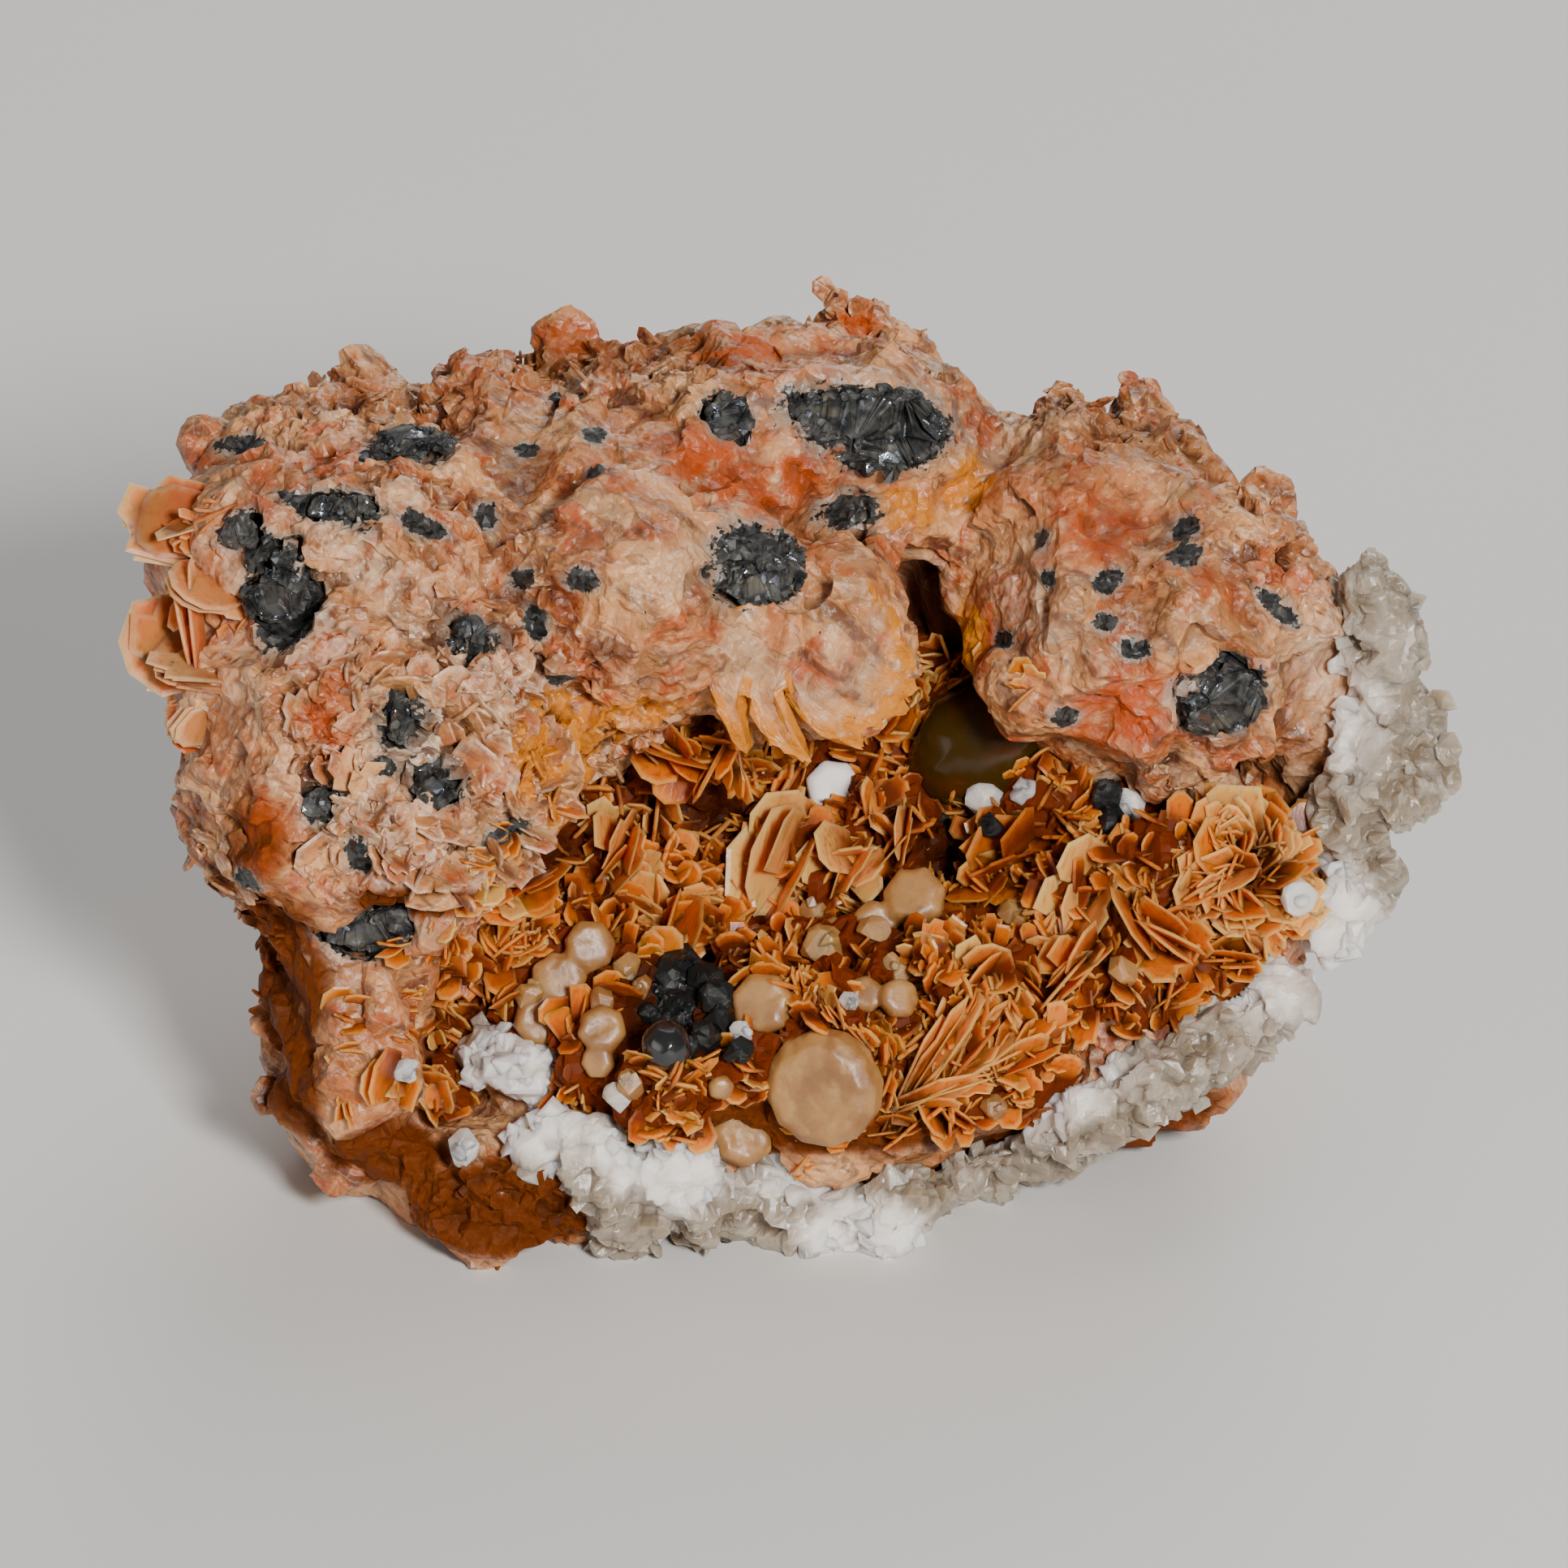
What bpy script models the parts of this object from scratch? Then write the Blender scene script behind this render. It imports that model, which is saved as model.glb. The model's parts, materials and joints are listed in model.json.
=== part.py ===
"""Barite with cerussite: a hand specimen of massive salmon barite round an open vug.

The specimen is laid out on its display face, in millimetres: across to the right, up the face
and out towards the viewer. That face leans back by LEAN, and the broken foot is cut flat at z = 0.
"""

import math
import random

import bmesh
import bpy
import numpy as np
from mathutils import Matrix, Vector
from mathutils.bvhtree import BVHTree
from mathutils.kdtree import KDTree

MM = 0.001
# How far the display face leans back, and how high its middle stands above the foot.
LEAN = math.radians(28)
LIFT = 21.0
# The gap between neighbours, and how much larger a cutter is than the rock or crust it follows.
GAP = 0.25
SWELL = 0.5
# A distance well outside the specimen.
FAR = 60.0
TINY = 0.01

# The rock's skin: its voxels, its triangles, and the size and depth of its chips.
ROCK_VOXEL = 0.8
ROCK_TRIANGLES = 2600
CHIP_SIZE = 3.6
CHIP_DEPTH = 1.1
# How a chip's face leans, how much of the depth it is proud or sunk, and how steep it gets.
CHIP_LEAN = 0.35
CHIP_OFFSET = 0.4
CHIP_STEEPEST = 0.4

# The white crusts: their voxels, facets, and the lumps along their paths.
SUGAR_VOXEL = 0.8
SUGAR_SIZE = 1.7
SUGAR_DEPTH = 0.45
SUGAR_THINNING = 0.3
LUMP_LINK = 4.0
LUMP_DEPTH = 1.4
LUMP_RISE = 0.5

# The bed that the vug's blades grow from.
BED_VOXEL = 1.0
BED_DEPTH = 1.8
BED_SPACING = 2.6
BED_THINNING = 0.12

# Blades: their sides, how far their middle is from the root, and how the pages of a book vary.
PLATE_SIDES = 6
PLATE_REACH = 0.32
PAGE_TILT = 0.12
PAGE_SLIP = 0.2
PAGE_SIZES = (0.75, 1.1)
PAGE_THICKNESS = (0.5, 0.9)

# The ball of blades: its solid heart and its blades, as shares of its radius, and the middle
# and spread of how far they turn towards the viewer.
ROSETTE_HEART = 0.45
ROSETTE_LENGTHS = (1.05, 1.25)
ROSETTE_WIDTHS = (0.9, 1.2)
ROSETTE_FACING = (0.7, 0.8)

# Cerussite crystals: the cut rim, the sides of large and small ones, and how they lean.
TABLET_RIM = 0.25
LARGE_CRYSTAL = 2.5
LARGE_SIDES = 12
SMALL_SIDES = 7
CRYSTAL_LEAN = 0.25
CRYSTAL_UPTURN = 0.1

# Grains of galena: their corners, thickness and depth in the rock, and how their sockets swell.
GRAIN_POINTS = 16
GRAIN_DEPTH = 1.6
GRAIN_SUNK = 0.8
GRAIN_SWELL = 1.3
# The step over which the rock's slope is taken under a grain, and the steepest slope it follows.
SLOPE_STEP = 1.2
STEEPEST = 1.2

ROCK_SEED = 4
RIM_SEED = 21
EDGE_SEED = 22
TUFT_SEED = 23
VUG_SEED = 6
ROSETTE_SEED = 11

# Rounded masses of the barite: across, up, out, then half width, half height, half depth.
ROCK_MASSES = {
    "left_knob": (-21.4, 2.4, 6.0, 10.6, 11.6, 11.0),
    "left_shoulder": (-22.2, 11.6, 3.5, 10.2, 7.0, 12.0),
    "left_crown": (-22.6, 16.2, -4.0, 8.2, 4.8, 9.0),
    "upper_left": (-13.8, 16.4, -4.0, 10.0, 5.4, 11.0),
    "top_middle": (-3.2, 17.6, -6.0, 10.6, 6.0, 12.0),
    "top_right": (4.4, 17.8, -6.0, 5.8, 5.4, 10.0),
    "middle_roof": (-8.8, 10.5, 3.0, 11.0, 7.2, 11.5),
    "centre_lip": (1.5, 7.6, 3.0, 5.4, 5.2, 7.0),
    "right_lobe": (19.2, 8.6, -2.0, 10.2, 7.9, 9.5),
    "right_crown": (17.0, 14.6, -5.0, 7.2, 4.6, 8.0),
    "right_neck": (12.2, 13.0, -8.0, 5.5, 5.4, 8.0),
    "right_edge": (27.2, 4.0, -7.0, 3.8, 6.4, 6.0),
    "back_wall": (7.0, 3.0, -16.0, 18.0, 13.0, 7.5),
    "back_left": (-15.0, 3.0, -8.0, 14.0, 16.0, 12.0),
    "floor_middle": (-3.0, -15.4, -5.0, 16.0, 6.6, 11.5),
    "floor_right": (18.2, -6.6, -9.0, 9.5, 7.0, 9.0),
    "floor_front": (14.0, -13.6, -6.0, 10.0, 5.6, 9.0),
    "left_wall": (-22.2, -11.3, -1.0, 4.4, 10.0, 11.0),
    "left_foot": (-21.6, -18.0, -2.0, 4.0, 3.2, 8.0),
    "bottom_flap": (-14.2, -21.0, 0.0, 6.0, 3.8, 7.0),
}
# The foot under the masses, upright: x, y and z of its middle, then its half sizes.
FOOT = (-3.0, 2.0, 6.0, 18.0, 13.0, 11.0)
# Hollows in the masses: the vug under the roof, the slot between the lobes and the dark pit.
HOLLOWS = {
    "vug": (2.0, -3.6, 3.0, 17.0, 7.4, 12.0),
    "slot": (8.0, 8.0, 2.0, 2.2, 6.4, 9.0),
    "pit": (-5.4, -11.2, 5.0, 2.6, 3.2, 8.0),
}

# Where blades line the vug: across, up and the reach of each patch.
VUG_PATCHES = [
    (-15.6, -9.1, 4.5), (-19.9, -13.8, 4.0), (-11.4, -5.6, 5.0), (-4.5, -2.2, 5.5),
    (3.2, -4.0, 5.5), (-10.5, -12.1, 4.5), (-4.5, -10.8, 5.0), (2.7, -11.7, 5.0),
    (10.0, -13.0, 5.0), (12.1, -5.7, 6.0), (18.5, -6.6, 5.5), (8.7, 2.8, 4.5),
]
# Fans of blades in the vug: across, up; the way they face; the spine they share; spread in
# degrees, number of blades, blade length and width.
VUG_FANS = {
    "left_books": (-17.6, -9.4, (0.2, 0.3, 1.0), (0.9, -0.3, 0.1), 50, 5, 5.2, 5.0),
    "left_foot_books": (-20.2, -15.4, (-0.1, -0.2, 1.0), (0.3, 1.0, 0.1), 55, 4, 4.6, 4.6),
    "under_knob": (-13.6, -5.0, (0.3, -0.2, 1.0), (1.0, 0.2, 0.0), 50, 4, 5.0, 5.5),
    "middle_crest": (-7.2, -4.6, (0.2, 0.2, 1.0), (0.5, 1.0, 0.2), 60, 6, 6.4, 6.2),
    "roof_shadow": (-4.6, 1.2, (0.1, -0.4, 1.0), (1.0, -0.5, 0.1), 50, 4, 4.8, 5.0),
    "pink_curl": (1.2, -3.6, (-0.3, 0.2, 1.0), (0.1, 1.0, 0.1), 60, 5, 6.4, 6.6),
    "pink_curl_right": (5.4, -3.0, (0.4, 0.3, 1.0), (0.8, 0.6, 0.0), 60, 5, 5.6, 5.4),
    "long_fan": (8.6, -14.6, (0.45, 0.65, 0.7), (0.1, -0.2, 1.0), 62, 6, 8.4, 5.0),
    "long_fan_left": (3.4, -13.2, (-0.5, 0.5, 0.9), (0.3, 0.2, 1.0), 50, 4, 5.6, 4.6),
    "dark_hollow": (11.6, -4.6, (0.3, 0.3, 1.0), (1.0, 0.6, 0.1), 60, 5, 5.8, 5.4),
    "right_books": (16.8, -5.6, (0.2, 0.3, 1.0), (0.4, 1.0, 0.2), 55, 5, 5.6, 5.6),
    "floor_sticks": (-5.6, -16.2, (0.45, 0.45, 1.0), (0.7, 0.6, 0.0), 40, 4, 5.0, 6.4),
    "left_gravel": (-11.8, -11.6, (0.0, 0.3, 1.0), (1.0, 0.3, 0.0), 55, 4, 4.2, 4.2),
    "right_floor": (16.4, -11.0, (0.2, 0.3, 1.0), (0.2, 1.0, 0.1), 50, 4, 4.8, 4.4),
}
# The ball of blades at the right end of the vug: across, up, out and radius.
ROSETTE = (24.2, -4.6, -1.0, 5.6)
ROSETTE_BLADES = 17

# Large blades at the left end: across, up, out; the way the blade stands; the way its broad
# face looks; length, width, thickness.
LEFT_FAN = [
    (-30.1, 13.5, 9.0, (-1.0, 0.1, 0.1), (-0.2, 0.3, 1.0), 5.9, 4.7, 1.0),
    (-30.2, 5.6, 12.0, (-0.1, 1.0, 0.2), (1.0, 0.2, 0.3), 7.8, 2.4, 0.7),
    (-30.1, 7.5, 10.0, (-1.0, -0.1, 0.2), (-0.3, 0.3, 1.0), 5.5, 6.3, 1.0),
    (-28.4, 5.8, 12.0, (-1.0, 0.1, 0.3), (0.1, 1.0, 0.4), 6.2, 4.4, 0.8),
    (-28.0, 3.7, 11.0, (-1.0, -0.2, 0.3), (0.2, -0.6, 1.0), 6.0, 3.4, 0.9),
    (-29.0, 10.6, 11.5, (-0.7, -0.2, 0.8), (0.6, 1.0, 0.2), 4.8, 4.4, 0.8),
]
# The bunch that those blades grow from: across, up, out and its half sizes.
LEFT_FAN_HEART = (-29.3, 8.8, 8.5, 2.6, 5.8, 3.6)
# Blades that stand up from the skyline: across, up, out; standing way; broad face; sizes.
CREST_BLADES = [
    (-11.6, 21.6, -5.0, (0.0, 1.0, -0.1), (0.2, 0.1, 1.0), 4.2, 3.4, 2.4),
    (-13.4, 21.0, -5.0, (-0.8, 0.9, 0.0), (0.0, 0.2, 1.0), 3.4, 1.8, 1.2),
    (-17.2, 20.0, -4.0, (0.1, 1.0, 0.0), (0.3, 0.0, 1.0), 3.2, 2.6, 1.6),
    (-22.6, 19.8, -4.0, (0.0, 1.0, 0.1), (-0.4, 0.1, 1.0), 3.8, 3.4, 2.2),
    (-29.6, 16.4, -2.0, (-0.6, 1.0, 0.0), (0.3, 0.1, 1.0), 3.8, 3.0, 1.6),
    (3.8, 22.4, -6.0, (-0.3, 1.0, 0.0), (0.2, 0.0, 1.0), 3.6, 4.2, 2.4),
    (15.2, 18.0, -5.0, (-0.3, 1.0, 0.0), (0.1, 0.0, 1.0), 3.4, 2.6, 1.8),
    (18.8, 18.0, -5.0, (0.2, 1.0, 0.0), (0.1, 0.0, 1.0), 3.8, 3.0, 1.8),
    (24.4, 14.2, -5.0, (1.0, 0.7, 0.0), (0.0, 0.2, 1.0), 3.4, 3.2, 1.6),
    (-26.2, -16.4, 1.0, (-1.0, 0.0, 0.1), (0.1, 0.2, 1.0), 2.6, 2.8, 1.6),
    (-26.2, -12.8, 1.0, (-1.0, 0.3, 0.0), (0.1, 0.2, 1.0), 2.0, 2.6, 1.4),
]

# White cerussite along the lower rim and the right edge: across, up and reach of each lump.
RIM_PATH = [
    (-12.4, -19.0, 1.6), (-10.2, -19.6, 2.0), (-8.2, -22.4, 2.0), (-5.6, -20.4, 2.4),
    (-4.4, -22.8, 2.0), (-1.2, -21.2, 2.2), (0.6, -23.0, 1.9), (3.2, -21.6, 1.9),
    (5.0, -23.2, 2.2), (7.0, -20.8, 2.0), (9.6, -19.8, 1.9), (12.4, -19.0, 1.9),
    (15.0, -18.0, 1.9), (17.6, -16.4, 2.0), (20.0, -15.0, 2.2), (22.6, -13.4, 2.0),
    (24.8, -11.8, 1.9), (26.6, -11.2, 1.4),
]
EDGE_PATH = [
    (30.6, 10.2, 1.6), (31.6, 7.4, 1.9), (30.6, 5.2, 1.8), (32.2, 3.4, 2.1), (30.2, 2.6, 1.8),
    (32.8, 0.4, 2.2), (30.6, -0.6, 2.2), (29.0, -2.0, 1.8), (30.4, -5.0, 1.8), (29.4, -7.6, 1.6),
]
TUFT_PATH = [
    (-15.4, -14.6, 1.5), (-13.9, -15.2, 1.7), (-12.5, -14.8, 1.4),
]

# Stout cerussite crystals on the blades. Those that have grown together are one piece.
# Each crystal: across, up, radius, thickness and turn in degrees.
CERUSSITE = {
    "disc": [(2.1, -15.8, 3.1, 2.6, 10)],
    "floor_left": [(-2.2, -18.4, 1.7, 1.4, 35)],
    "beside_pit": [(-1.1, -11.5, 1.7, 1.3, 20)],
    "curl_chain": [(2.6, -8.6, 1.6, 1.4, 0), (4.8, -7.4, 1.3, 1.2, 15), (6.9, -6.0, 1.7, 1.5, 30)],
    "fan_pair": [(4.2, -11.0, 1.0, 1.0, 40), (6.0, -11.2, 1.1, 1.0, 5)],
    "chip": [(-3.3, -15.8, 0.7, 0.8, 25)],
    "left_three": [(-11.8, -10.2, 1.5, 1.3, 15), (-12.8, -12.4, 1.4, 1.2, 50),
                   (-10.2, -8.5, 1.4, 1.3, 22)],
    "left_pair": [(-9.5, -12.8, 1.3, 1.2, 0), (-9.7, -14.5, 0.9, 0.9, 0)],
    "roof_bead": [(2.6, -0.2, 1.5, 1.2, 20)],
}

WHITE_CRYSTALS = ("roof_bead",)

# Grains of galena set in the rock: across, up, half width, half height, turn in degrees.
GALENA = {
    "top": (4.9, 18.6, 5.2, 2.9, -8),
    "peak": (-2.8, 19.4, 1.2, 1.3, 10),
    "centre": (-1.3, 11.8, 3.0, 2.2, 12),
    "left": (-26.4, 9.6, 1.7, 3.0, -25),
    "left_upper": (-28.2, 12.9, 1.2, 1.0, 10),
    "right": (23.4, 4.9, 3.1, 2.4, 20),
    "crown": (-20.2, 18.2, 4.0, 1.3, -8),
    "underside": (-21.6, -7.8, 2.6, 1.5, 8),
    "knob_upper": (-19.5, 3.2, 0.9, 1.5, -10),
    "knob_right": (-18.0, 0.1, 1.3, 0.9, -35),
    "knob_lower": (-24.0, -1.6, 0.9, 1.4, -25),
    "streak": (-16.1, 7.6, 1.9, 0.8, -42),
    "glint": (-22.8, 14.4, 2.2, 0.7, -18),
}
GALENA_PIT = (-5.4, -11.2, 2.2, 2.6, 15)

# Material colours: red, green, blue, roughness, metallic.
FINISHES = {
    "barite_matrix": (0.72, 0.36, 0.22, 0.55, 0.0),
    "barite_blades": (0.78, 0.35, 0.13, 0.40, 0.0),
    "cerussite_white": (0.80, 0.77, 0.74, 0.45, 0.0),
    "cerussite_honey": (0.72, 0.52, 0.33, 0.20, 0.0),
    "galena": (0.10, 0.11, 0.11, 0.40, 0.7),
}

FACE_TURN = Matrix.Rotation(math.pi / 2 - LEAN, 3, "X")
UPRIGHT = Matrix.Identity(3)


def face(across, up, out=0.0):
    """The upright point, in metres, of a place on the display face given in millimetres."""
    return (FACE_TURN @ Vector((across, up, out)) + Vector((0, 0, LIFT))) * MM


def face_way(way):
    """The upright unit direction of a step across, up and out of the display face."""
    return (FACE_TURN @ Vector(way)).normalized()


def clear_scene():
    for old in list(bpy.data.objects):
        bpy.data.objects.remove(old)


def make_collection(name):
    collection = bpy.data.collections.new(name)
    bpy.context.scene.collection.children.link(collection)
    return collection


def make_materials():
    """One Principled material for each finish of the specimen."""
    made = {}
    for name, (red, green, blue, roughness, metallic) in FINISHES.items():
        material = bpy.data.materials.new(name)
        material.use_nodes = True
        shader = material.node_tree.nodes["Principled BSDF"]
        shader.inputs["Base Color"].default_value = (red, green, blue, 1)
        shader.inputs["Roughness"].default_value = roughness
        shader.inputs["Metallic"].default_value = metallic
        made[name] = material
    return made


def make_object(name, bm, collection):
    """An object holding what bm has gathered. bm is used up."""
    mesh = bpy.data.meshes.new(name)
    bm.to_mesh(mesh)
    bm.free()
    obj = bpy.data.objects.new(name, mesh)
    collection.objects.link(obj)
    return obj


def bake(obj):
    """Turns an object's modifiers into its mesh."""
    graph = bpy.context.evaluated_depsgraph_get()
    mesh = bpy.data.meshes.new_from_object(obj.evaluated_get(graph))
    obj.modifiers.clear()
    obj.data = mesh


def combine(obj, other, operation, tangled=False):
    """Joins obj with another closed object, or cuts it, and uses the other up. Tangled says that
    the other's own shapes overlap each other."""
    modifier = obj.modifiers.new(operation.title(), "BOOLEAN")
    modifier.operation = operation
    modifier.object = other
    modifier.use_self = tangled
    bake(obj)
    bpy.data.objects.remove(other)


def cut_away(piece, cutters, helpers):
    """Cuts the piece with one cutter after another. The cutters stay as they are."""
    for cutter in cutters:
        own = cutter.copy()
        helpers.objects.link(own)
        combine(piece, own, "DIFFERENCE")


def gathered(name, objects, collection):
    """One object that holds the shapes of several, which are used up."""
    bm = bmesh.new()
    for obj in objects:
        bm.from_mesh(obj.data)
        bpy.data.objects.remove(obj)
    return make_object(name, bm, collection)


def fuse_round(obj, voxel):
    """Melts overlapping closed shapes into one skin."""
    modifier = obj.modifiers.new("Fuse", "REMESH")
    modifier.mode = "VOXEL"
    modifier.voxel_size = voxel * MM
    bake(obj)


def keep_largest(obj):
    """Drops loose crumbs that a cut left, and keeps the largest body."""
    bm = bmesh.new()
    bm.from_mesh(obj.data)
    left = set(bm.faces)
    bodies = []
    while left:
        body, edge_of_body = set(), [left.pop()]
        while edge_of_body:
            found = edge_of_body.pop()
            body.add(found)
            near = {f for edge in found.edges for f in edge.link_faces} & left
            left -= near
            edge_of_body.extend(near)
        bodies.append(body)
    bodies.sort(key=lambda body: sum(f.calc_area() for f in body))
    crumbs = [f for body in bodies[:-1] for f in body]
    bmesh.ops.delete(bm, geom=crumbs, context="FACES")
    bm.to_mesh(obj.data)
    bm.free()


def grown(obj, helpers):
    """A cutter: obj made larger all round, so that a gap parts it from what the cutter cuts."""
    cutter = obj.copy()
    cutter.data = obj.data.copy()
    helpers.objects.link(cutter)
    swell = cutter.modifiers.new("Swell", "DISPLACE")
    swell.strength = SWELL * MM
    swell.mid_level = 0
    bake(cutter)
    fuse_round(cutter, ROCK_VOXEL)
    thin_out(cutter, len(obj.data.polygons) / len(cutter.data.polygons))
    return cutter


def surface_of(*objects):
    """What a ray can be cast against: the skins of the objects taken together."""
    bm = bmesh.new()
    for obj in objects:
        bm.from_mesh(obj.data)
    tree = BVHTree.FromBMesh(bm)
    bm.free()
    return tree


def depth_at(tree, across, up):
    """How far out the view onto the display face meets the surface. Beside the outline, how far
    out the nearest part of the surface is."""
    point = tree.ray_cast(face(across, up, FAR), face_way((0, 0, -1)))[0]
    if point is None:
        point = tree.find_nearest(face(across, up))[0]
    return (FACE_TURN.transposed() @ (point / MM - Vector((0, 0, LIFT)))).z


def seat(tree, across, up):
    return face(across, up, depth_at(tree, across, up))


def slope_at(tree, across, up):
    """The way the surface looks round a place, from four rays a step away from it."""
    east, west = (depth_at(tree, across + step, up) for step in (SLOPE_STEP, -SLOPE_STEP))
    north, south = (depth_at(tree, across, up + step) for step in (SLOPE_STEP, -SLOPE_STEP))
    lean = Vector((west - east, south - north, 2 * SLOPE_STEP)) / (2 * SLOPE_STEP)
    lean.x, lean.y = (max(-STEEPEST, min(STEEPEST, part)) for part in lean.xy)
    return face_way(lean)


def add_ball(bm, centre, radii, turn, fineness=3):
    """A stretched ball: its centre in metres, its radii in millimetres."""
    ball = bmesh.ops.create_icosphere(bm, subdivisions=fineness, radius=MM)
    place = Matrix.Translation(centre) @ turn.to_4x4() @ Matrix.Diagonal((*radii, 1))
    bmesh.ops.transform(bm, matrix=place, verts=ball["verts"])


def square_to(x_way, z_way):
    """A turn whose x runs along x_way and whose z is as near z_way as that lets it be."""
    x = x_way.normalized()
    z = (z_way - x * z_way.dot(x)).normalized()
    return Matrix((x, z.cross(x), z)).transposed()


def add_plate(bm, root, stand, broad, length, width, thickness, extra=0.0):
    """A six-sided tabular crystal from root along stand, its broad faces square to broad."""
    plate = bmesh.ops.create_cone(
        bm, cap_ends=True, segments=PLATE_SIDES, radius1=0.5, radius2=0.5, depth=1)
    sizes = [(size + 2 * extra) * MM for size in (length, width, thickness)]
    middle = root + stand.normalized() * (PLATE_REACH * length * MM)
    place = Matrix.Translation(middle) @ square_to(stand, broad).to_4x4()
    quarter = Matrix.Rotation(math.pi / 2, 4, "Z")
    bmesh.ops.transform(bm, matrix=place @ Matrix.Diagonal((*sizes, 1)) @ quarter,
                        verts=plate["verts"])


def add_tablet(bm, centre, turn, radius, thickness, sides, extra=0.0):
    """A thick many-sided crystal with its rims cut back."""
    radius, thickness = radius + extra, thickness + 2 * extra
    tablet = bmesh.ops.create_cone(
        bm, cap_ends=True, segments=sides, radius1=radius * MM, radius2=radius * MM,
        depth=thickness * MM)
    verts = tablet["verts"]
    rims = {edge for v in verts for edge in v.link_edges
            if abs(edge.verts[0].co.z - edge.verts[1].co.z) < radius * MM * TINY}
    cut = bmesh.ops.bevel(bm, geom=list(rims), offset=TABLET_RIM * thickness * MM,
                          segments=1, affect="EDGES")
    verts = {v for face_ in cut["faces"] for v in face_.verts} | {v for v in verts if v.is_valid}
    place = Matrix.Translation(centre) @ turn.to_4x4()
    bmesh.ops.transform(bm, matrix=place, verts=list(verts))


def add_grain(bm, centre, turn, radii, dice, extra=0.0):
    """An irregular lump with flat faces: the hull of points spread over a stretched ball."""
    corners = []
    for _ in range(GRAIN_POINTS):
        way = Vector([dice.gauss(0, 1) for _ in range(3)]).normalized()
        corner = Vector([part * radius for part, radius in zip(way, radii)])
        corner += way * extra * GRAIN_SWELL
        corners.append(bm.verts.new(centre + turn @ corner * MM))
    hull = bmesh.ops.convex_hull(bm, input=corners)
    inside = [v for v in hull["geom_interior"] if isinstance(v, bmesh.types.BMVert)]
    bmesh.ops.delete(bm, geom=inside, context="VERTS")


def cleave(mesh, size, depth, seed):
    """Breaks a smooth skin into flat chips about size across and up to depth proud or sunk."""
    dice = random.Random(seed)
    count = len(mesh.vertices)
    points = np.empty(count * 3)
    normals = np.empty(count * 3)
    mesh.vertices.foreach_get("co", points)
    mesh.vertex_normals.foreach_get("vector", normals)
    points, normals = points.reshape(-1, 3), normals.reshape(-1, 3)
    area = sum(p.area for p in mesh.polygons)
    chips = dice.sample(range(count), int(area / (size * MM) ** 2))
    tree = KDTree(len(chips))
    planes = []
    for index, chip in enumerate(chips):
        tilt = Vector([dice.gauss(0, CHIP_LEAN) for _ in range(3)])
        way = (Vector(normals[chip]) + tilt).normalized()
        offset = dice.uniform(-CHIP_OFFSET, CHIP_OFFSET) * depth * MM
        tree.insert(Vector(points[chip]), index)
        planes.append((Vector(points[chip]) + way * offset, way))
    tree.balance()
    for index in range(count):
        point, normal = Vector(points[index]), Vector(normals[index])
        origin, way = planes[tree.find(point)[1]]
        step = (origin - point).dot(way) / max(CHIP_STEEPEST, normal.dot(way))
        step = max(-depth * MM, min(depth * MM, step))
        points[index] = point + normal * step
    mesh.vertices.foreach_set("co", points.ravel())
    mesh.update()


def build_rock(collection):
    """The massive barite: fused rounded masses, broken into chips and cut flat at the foot."""
    bm = bmesh.new()
    for across, up, out, *radii in ROCK_MASSES.values():
        add_ball(bm, face(across, up, out), radii, FACE_TURN)
    add_ball(bm, Vector(FOOT[:3]) * MM, FOOT[3:], UPRIGHT)
    rock = make_object("barite_matrix", bm, collection)
    fuse_round(rock, ROCK_VOXEL)
    bm = bmesh.new()
    for across, up, out, *radii in HOLLOWS.values():
        add_ball(bm, face(across, up, out), radii, FACE_TURN)
    combine(rock, make_object("hollows", bm, collection), "DIFFERENCE", tangled=True)
    fuse_round(rock, ROCK_VOXEL)
    cleave(rock.data, CHIP_SIZE, CHIP_DEPTH, ROCK_SEED)
    fuse_round(rock, ROCK_VOXEL)
    thin_out(rock, ROCK_TRIANGLES / (2 * len(rock.data.polygons)))
    return rock


def thin_out(obj, ratio):
    thin = obj.modifiers.new("Thin", "DECIMATE")
    thin.ratio = ratio
    bake(obj)


def crest_blades(bm):
    for across, up, out, stand, broad, length, width, thickness in CREST_BLADES:
        add_plate(bm, face(across, up, out), face_way(stand), face_way(broad),
                  length, width, thickness)


def build_left_fan(collection, helpers):
    bm = bmesh.new()
    across, up, out, *radii = LEFT_FAN_HEART
    add_ball(bm, face(across, up, out), radii, FACE_TURN, 2)
    fan = make_object("barite_fan_left", bm, collection)
    bm = bmesh.new()
    for across, up, out, stand, broad, length, width, thickness in LEFT_FAN:
        add_plate(bm, face(across, up, out), face_way(stand), face_way(broad),
                  length, width, thickness)
    combine(fan, make_object("pages", bm, helpers), "UNION", tangled=True)
    return fan


def add_fan(bm, root, facing, spine, spread, count, length, width, dice):
    """Blades opened like the pages of a book: all of them hold the spine's direction."""
    spine = face_way(spine)
    facing = face_way(facing)
    for page in range(count):
        angle = math.radians(spread) * (page / (count - 1) - 0.5) * 2
        lie = Matrix.Rotation(angle, 3, spine) @ (facing - spine * facing.dot(spine))
        broad = spine.cross(lie) + Vector([dice.gauss(0, PAGE_TILT) for _ in range(3)])
        start = root + spine * dice.uniform(-PAGE_SLIP, PAGE_SLIP) * width * MM
        size = dice.uniform(*PAGE_SIZES)
        add_plate(bm, start, lie, broad, length * size, width * size,
                  dice.uniform(*PAGE_THICKNESS))


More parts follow.
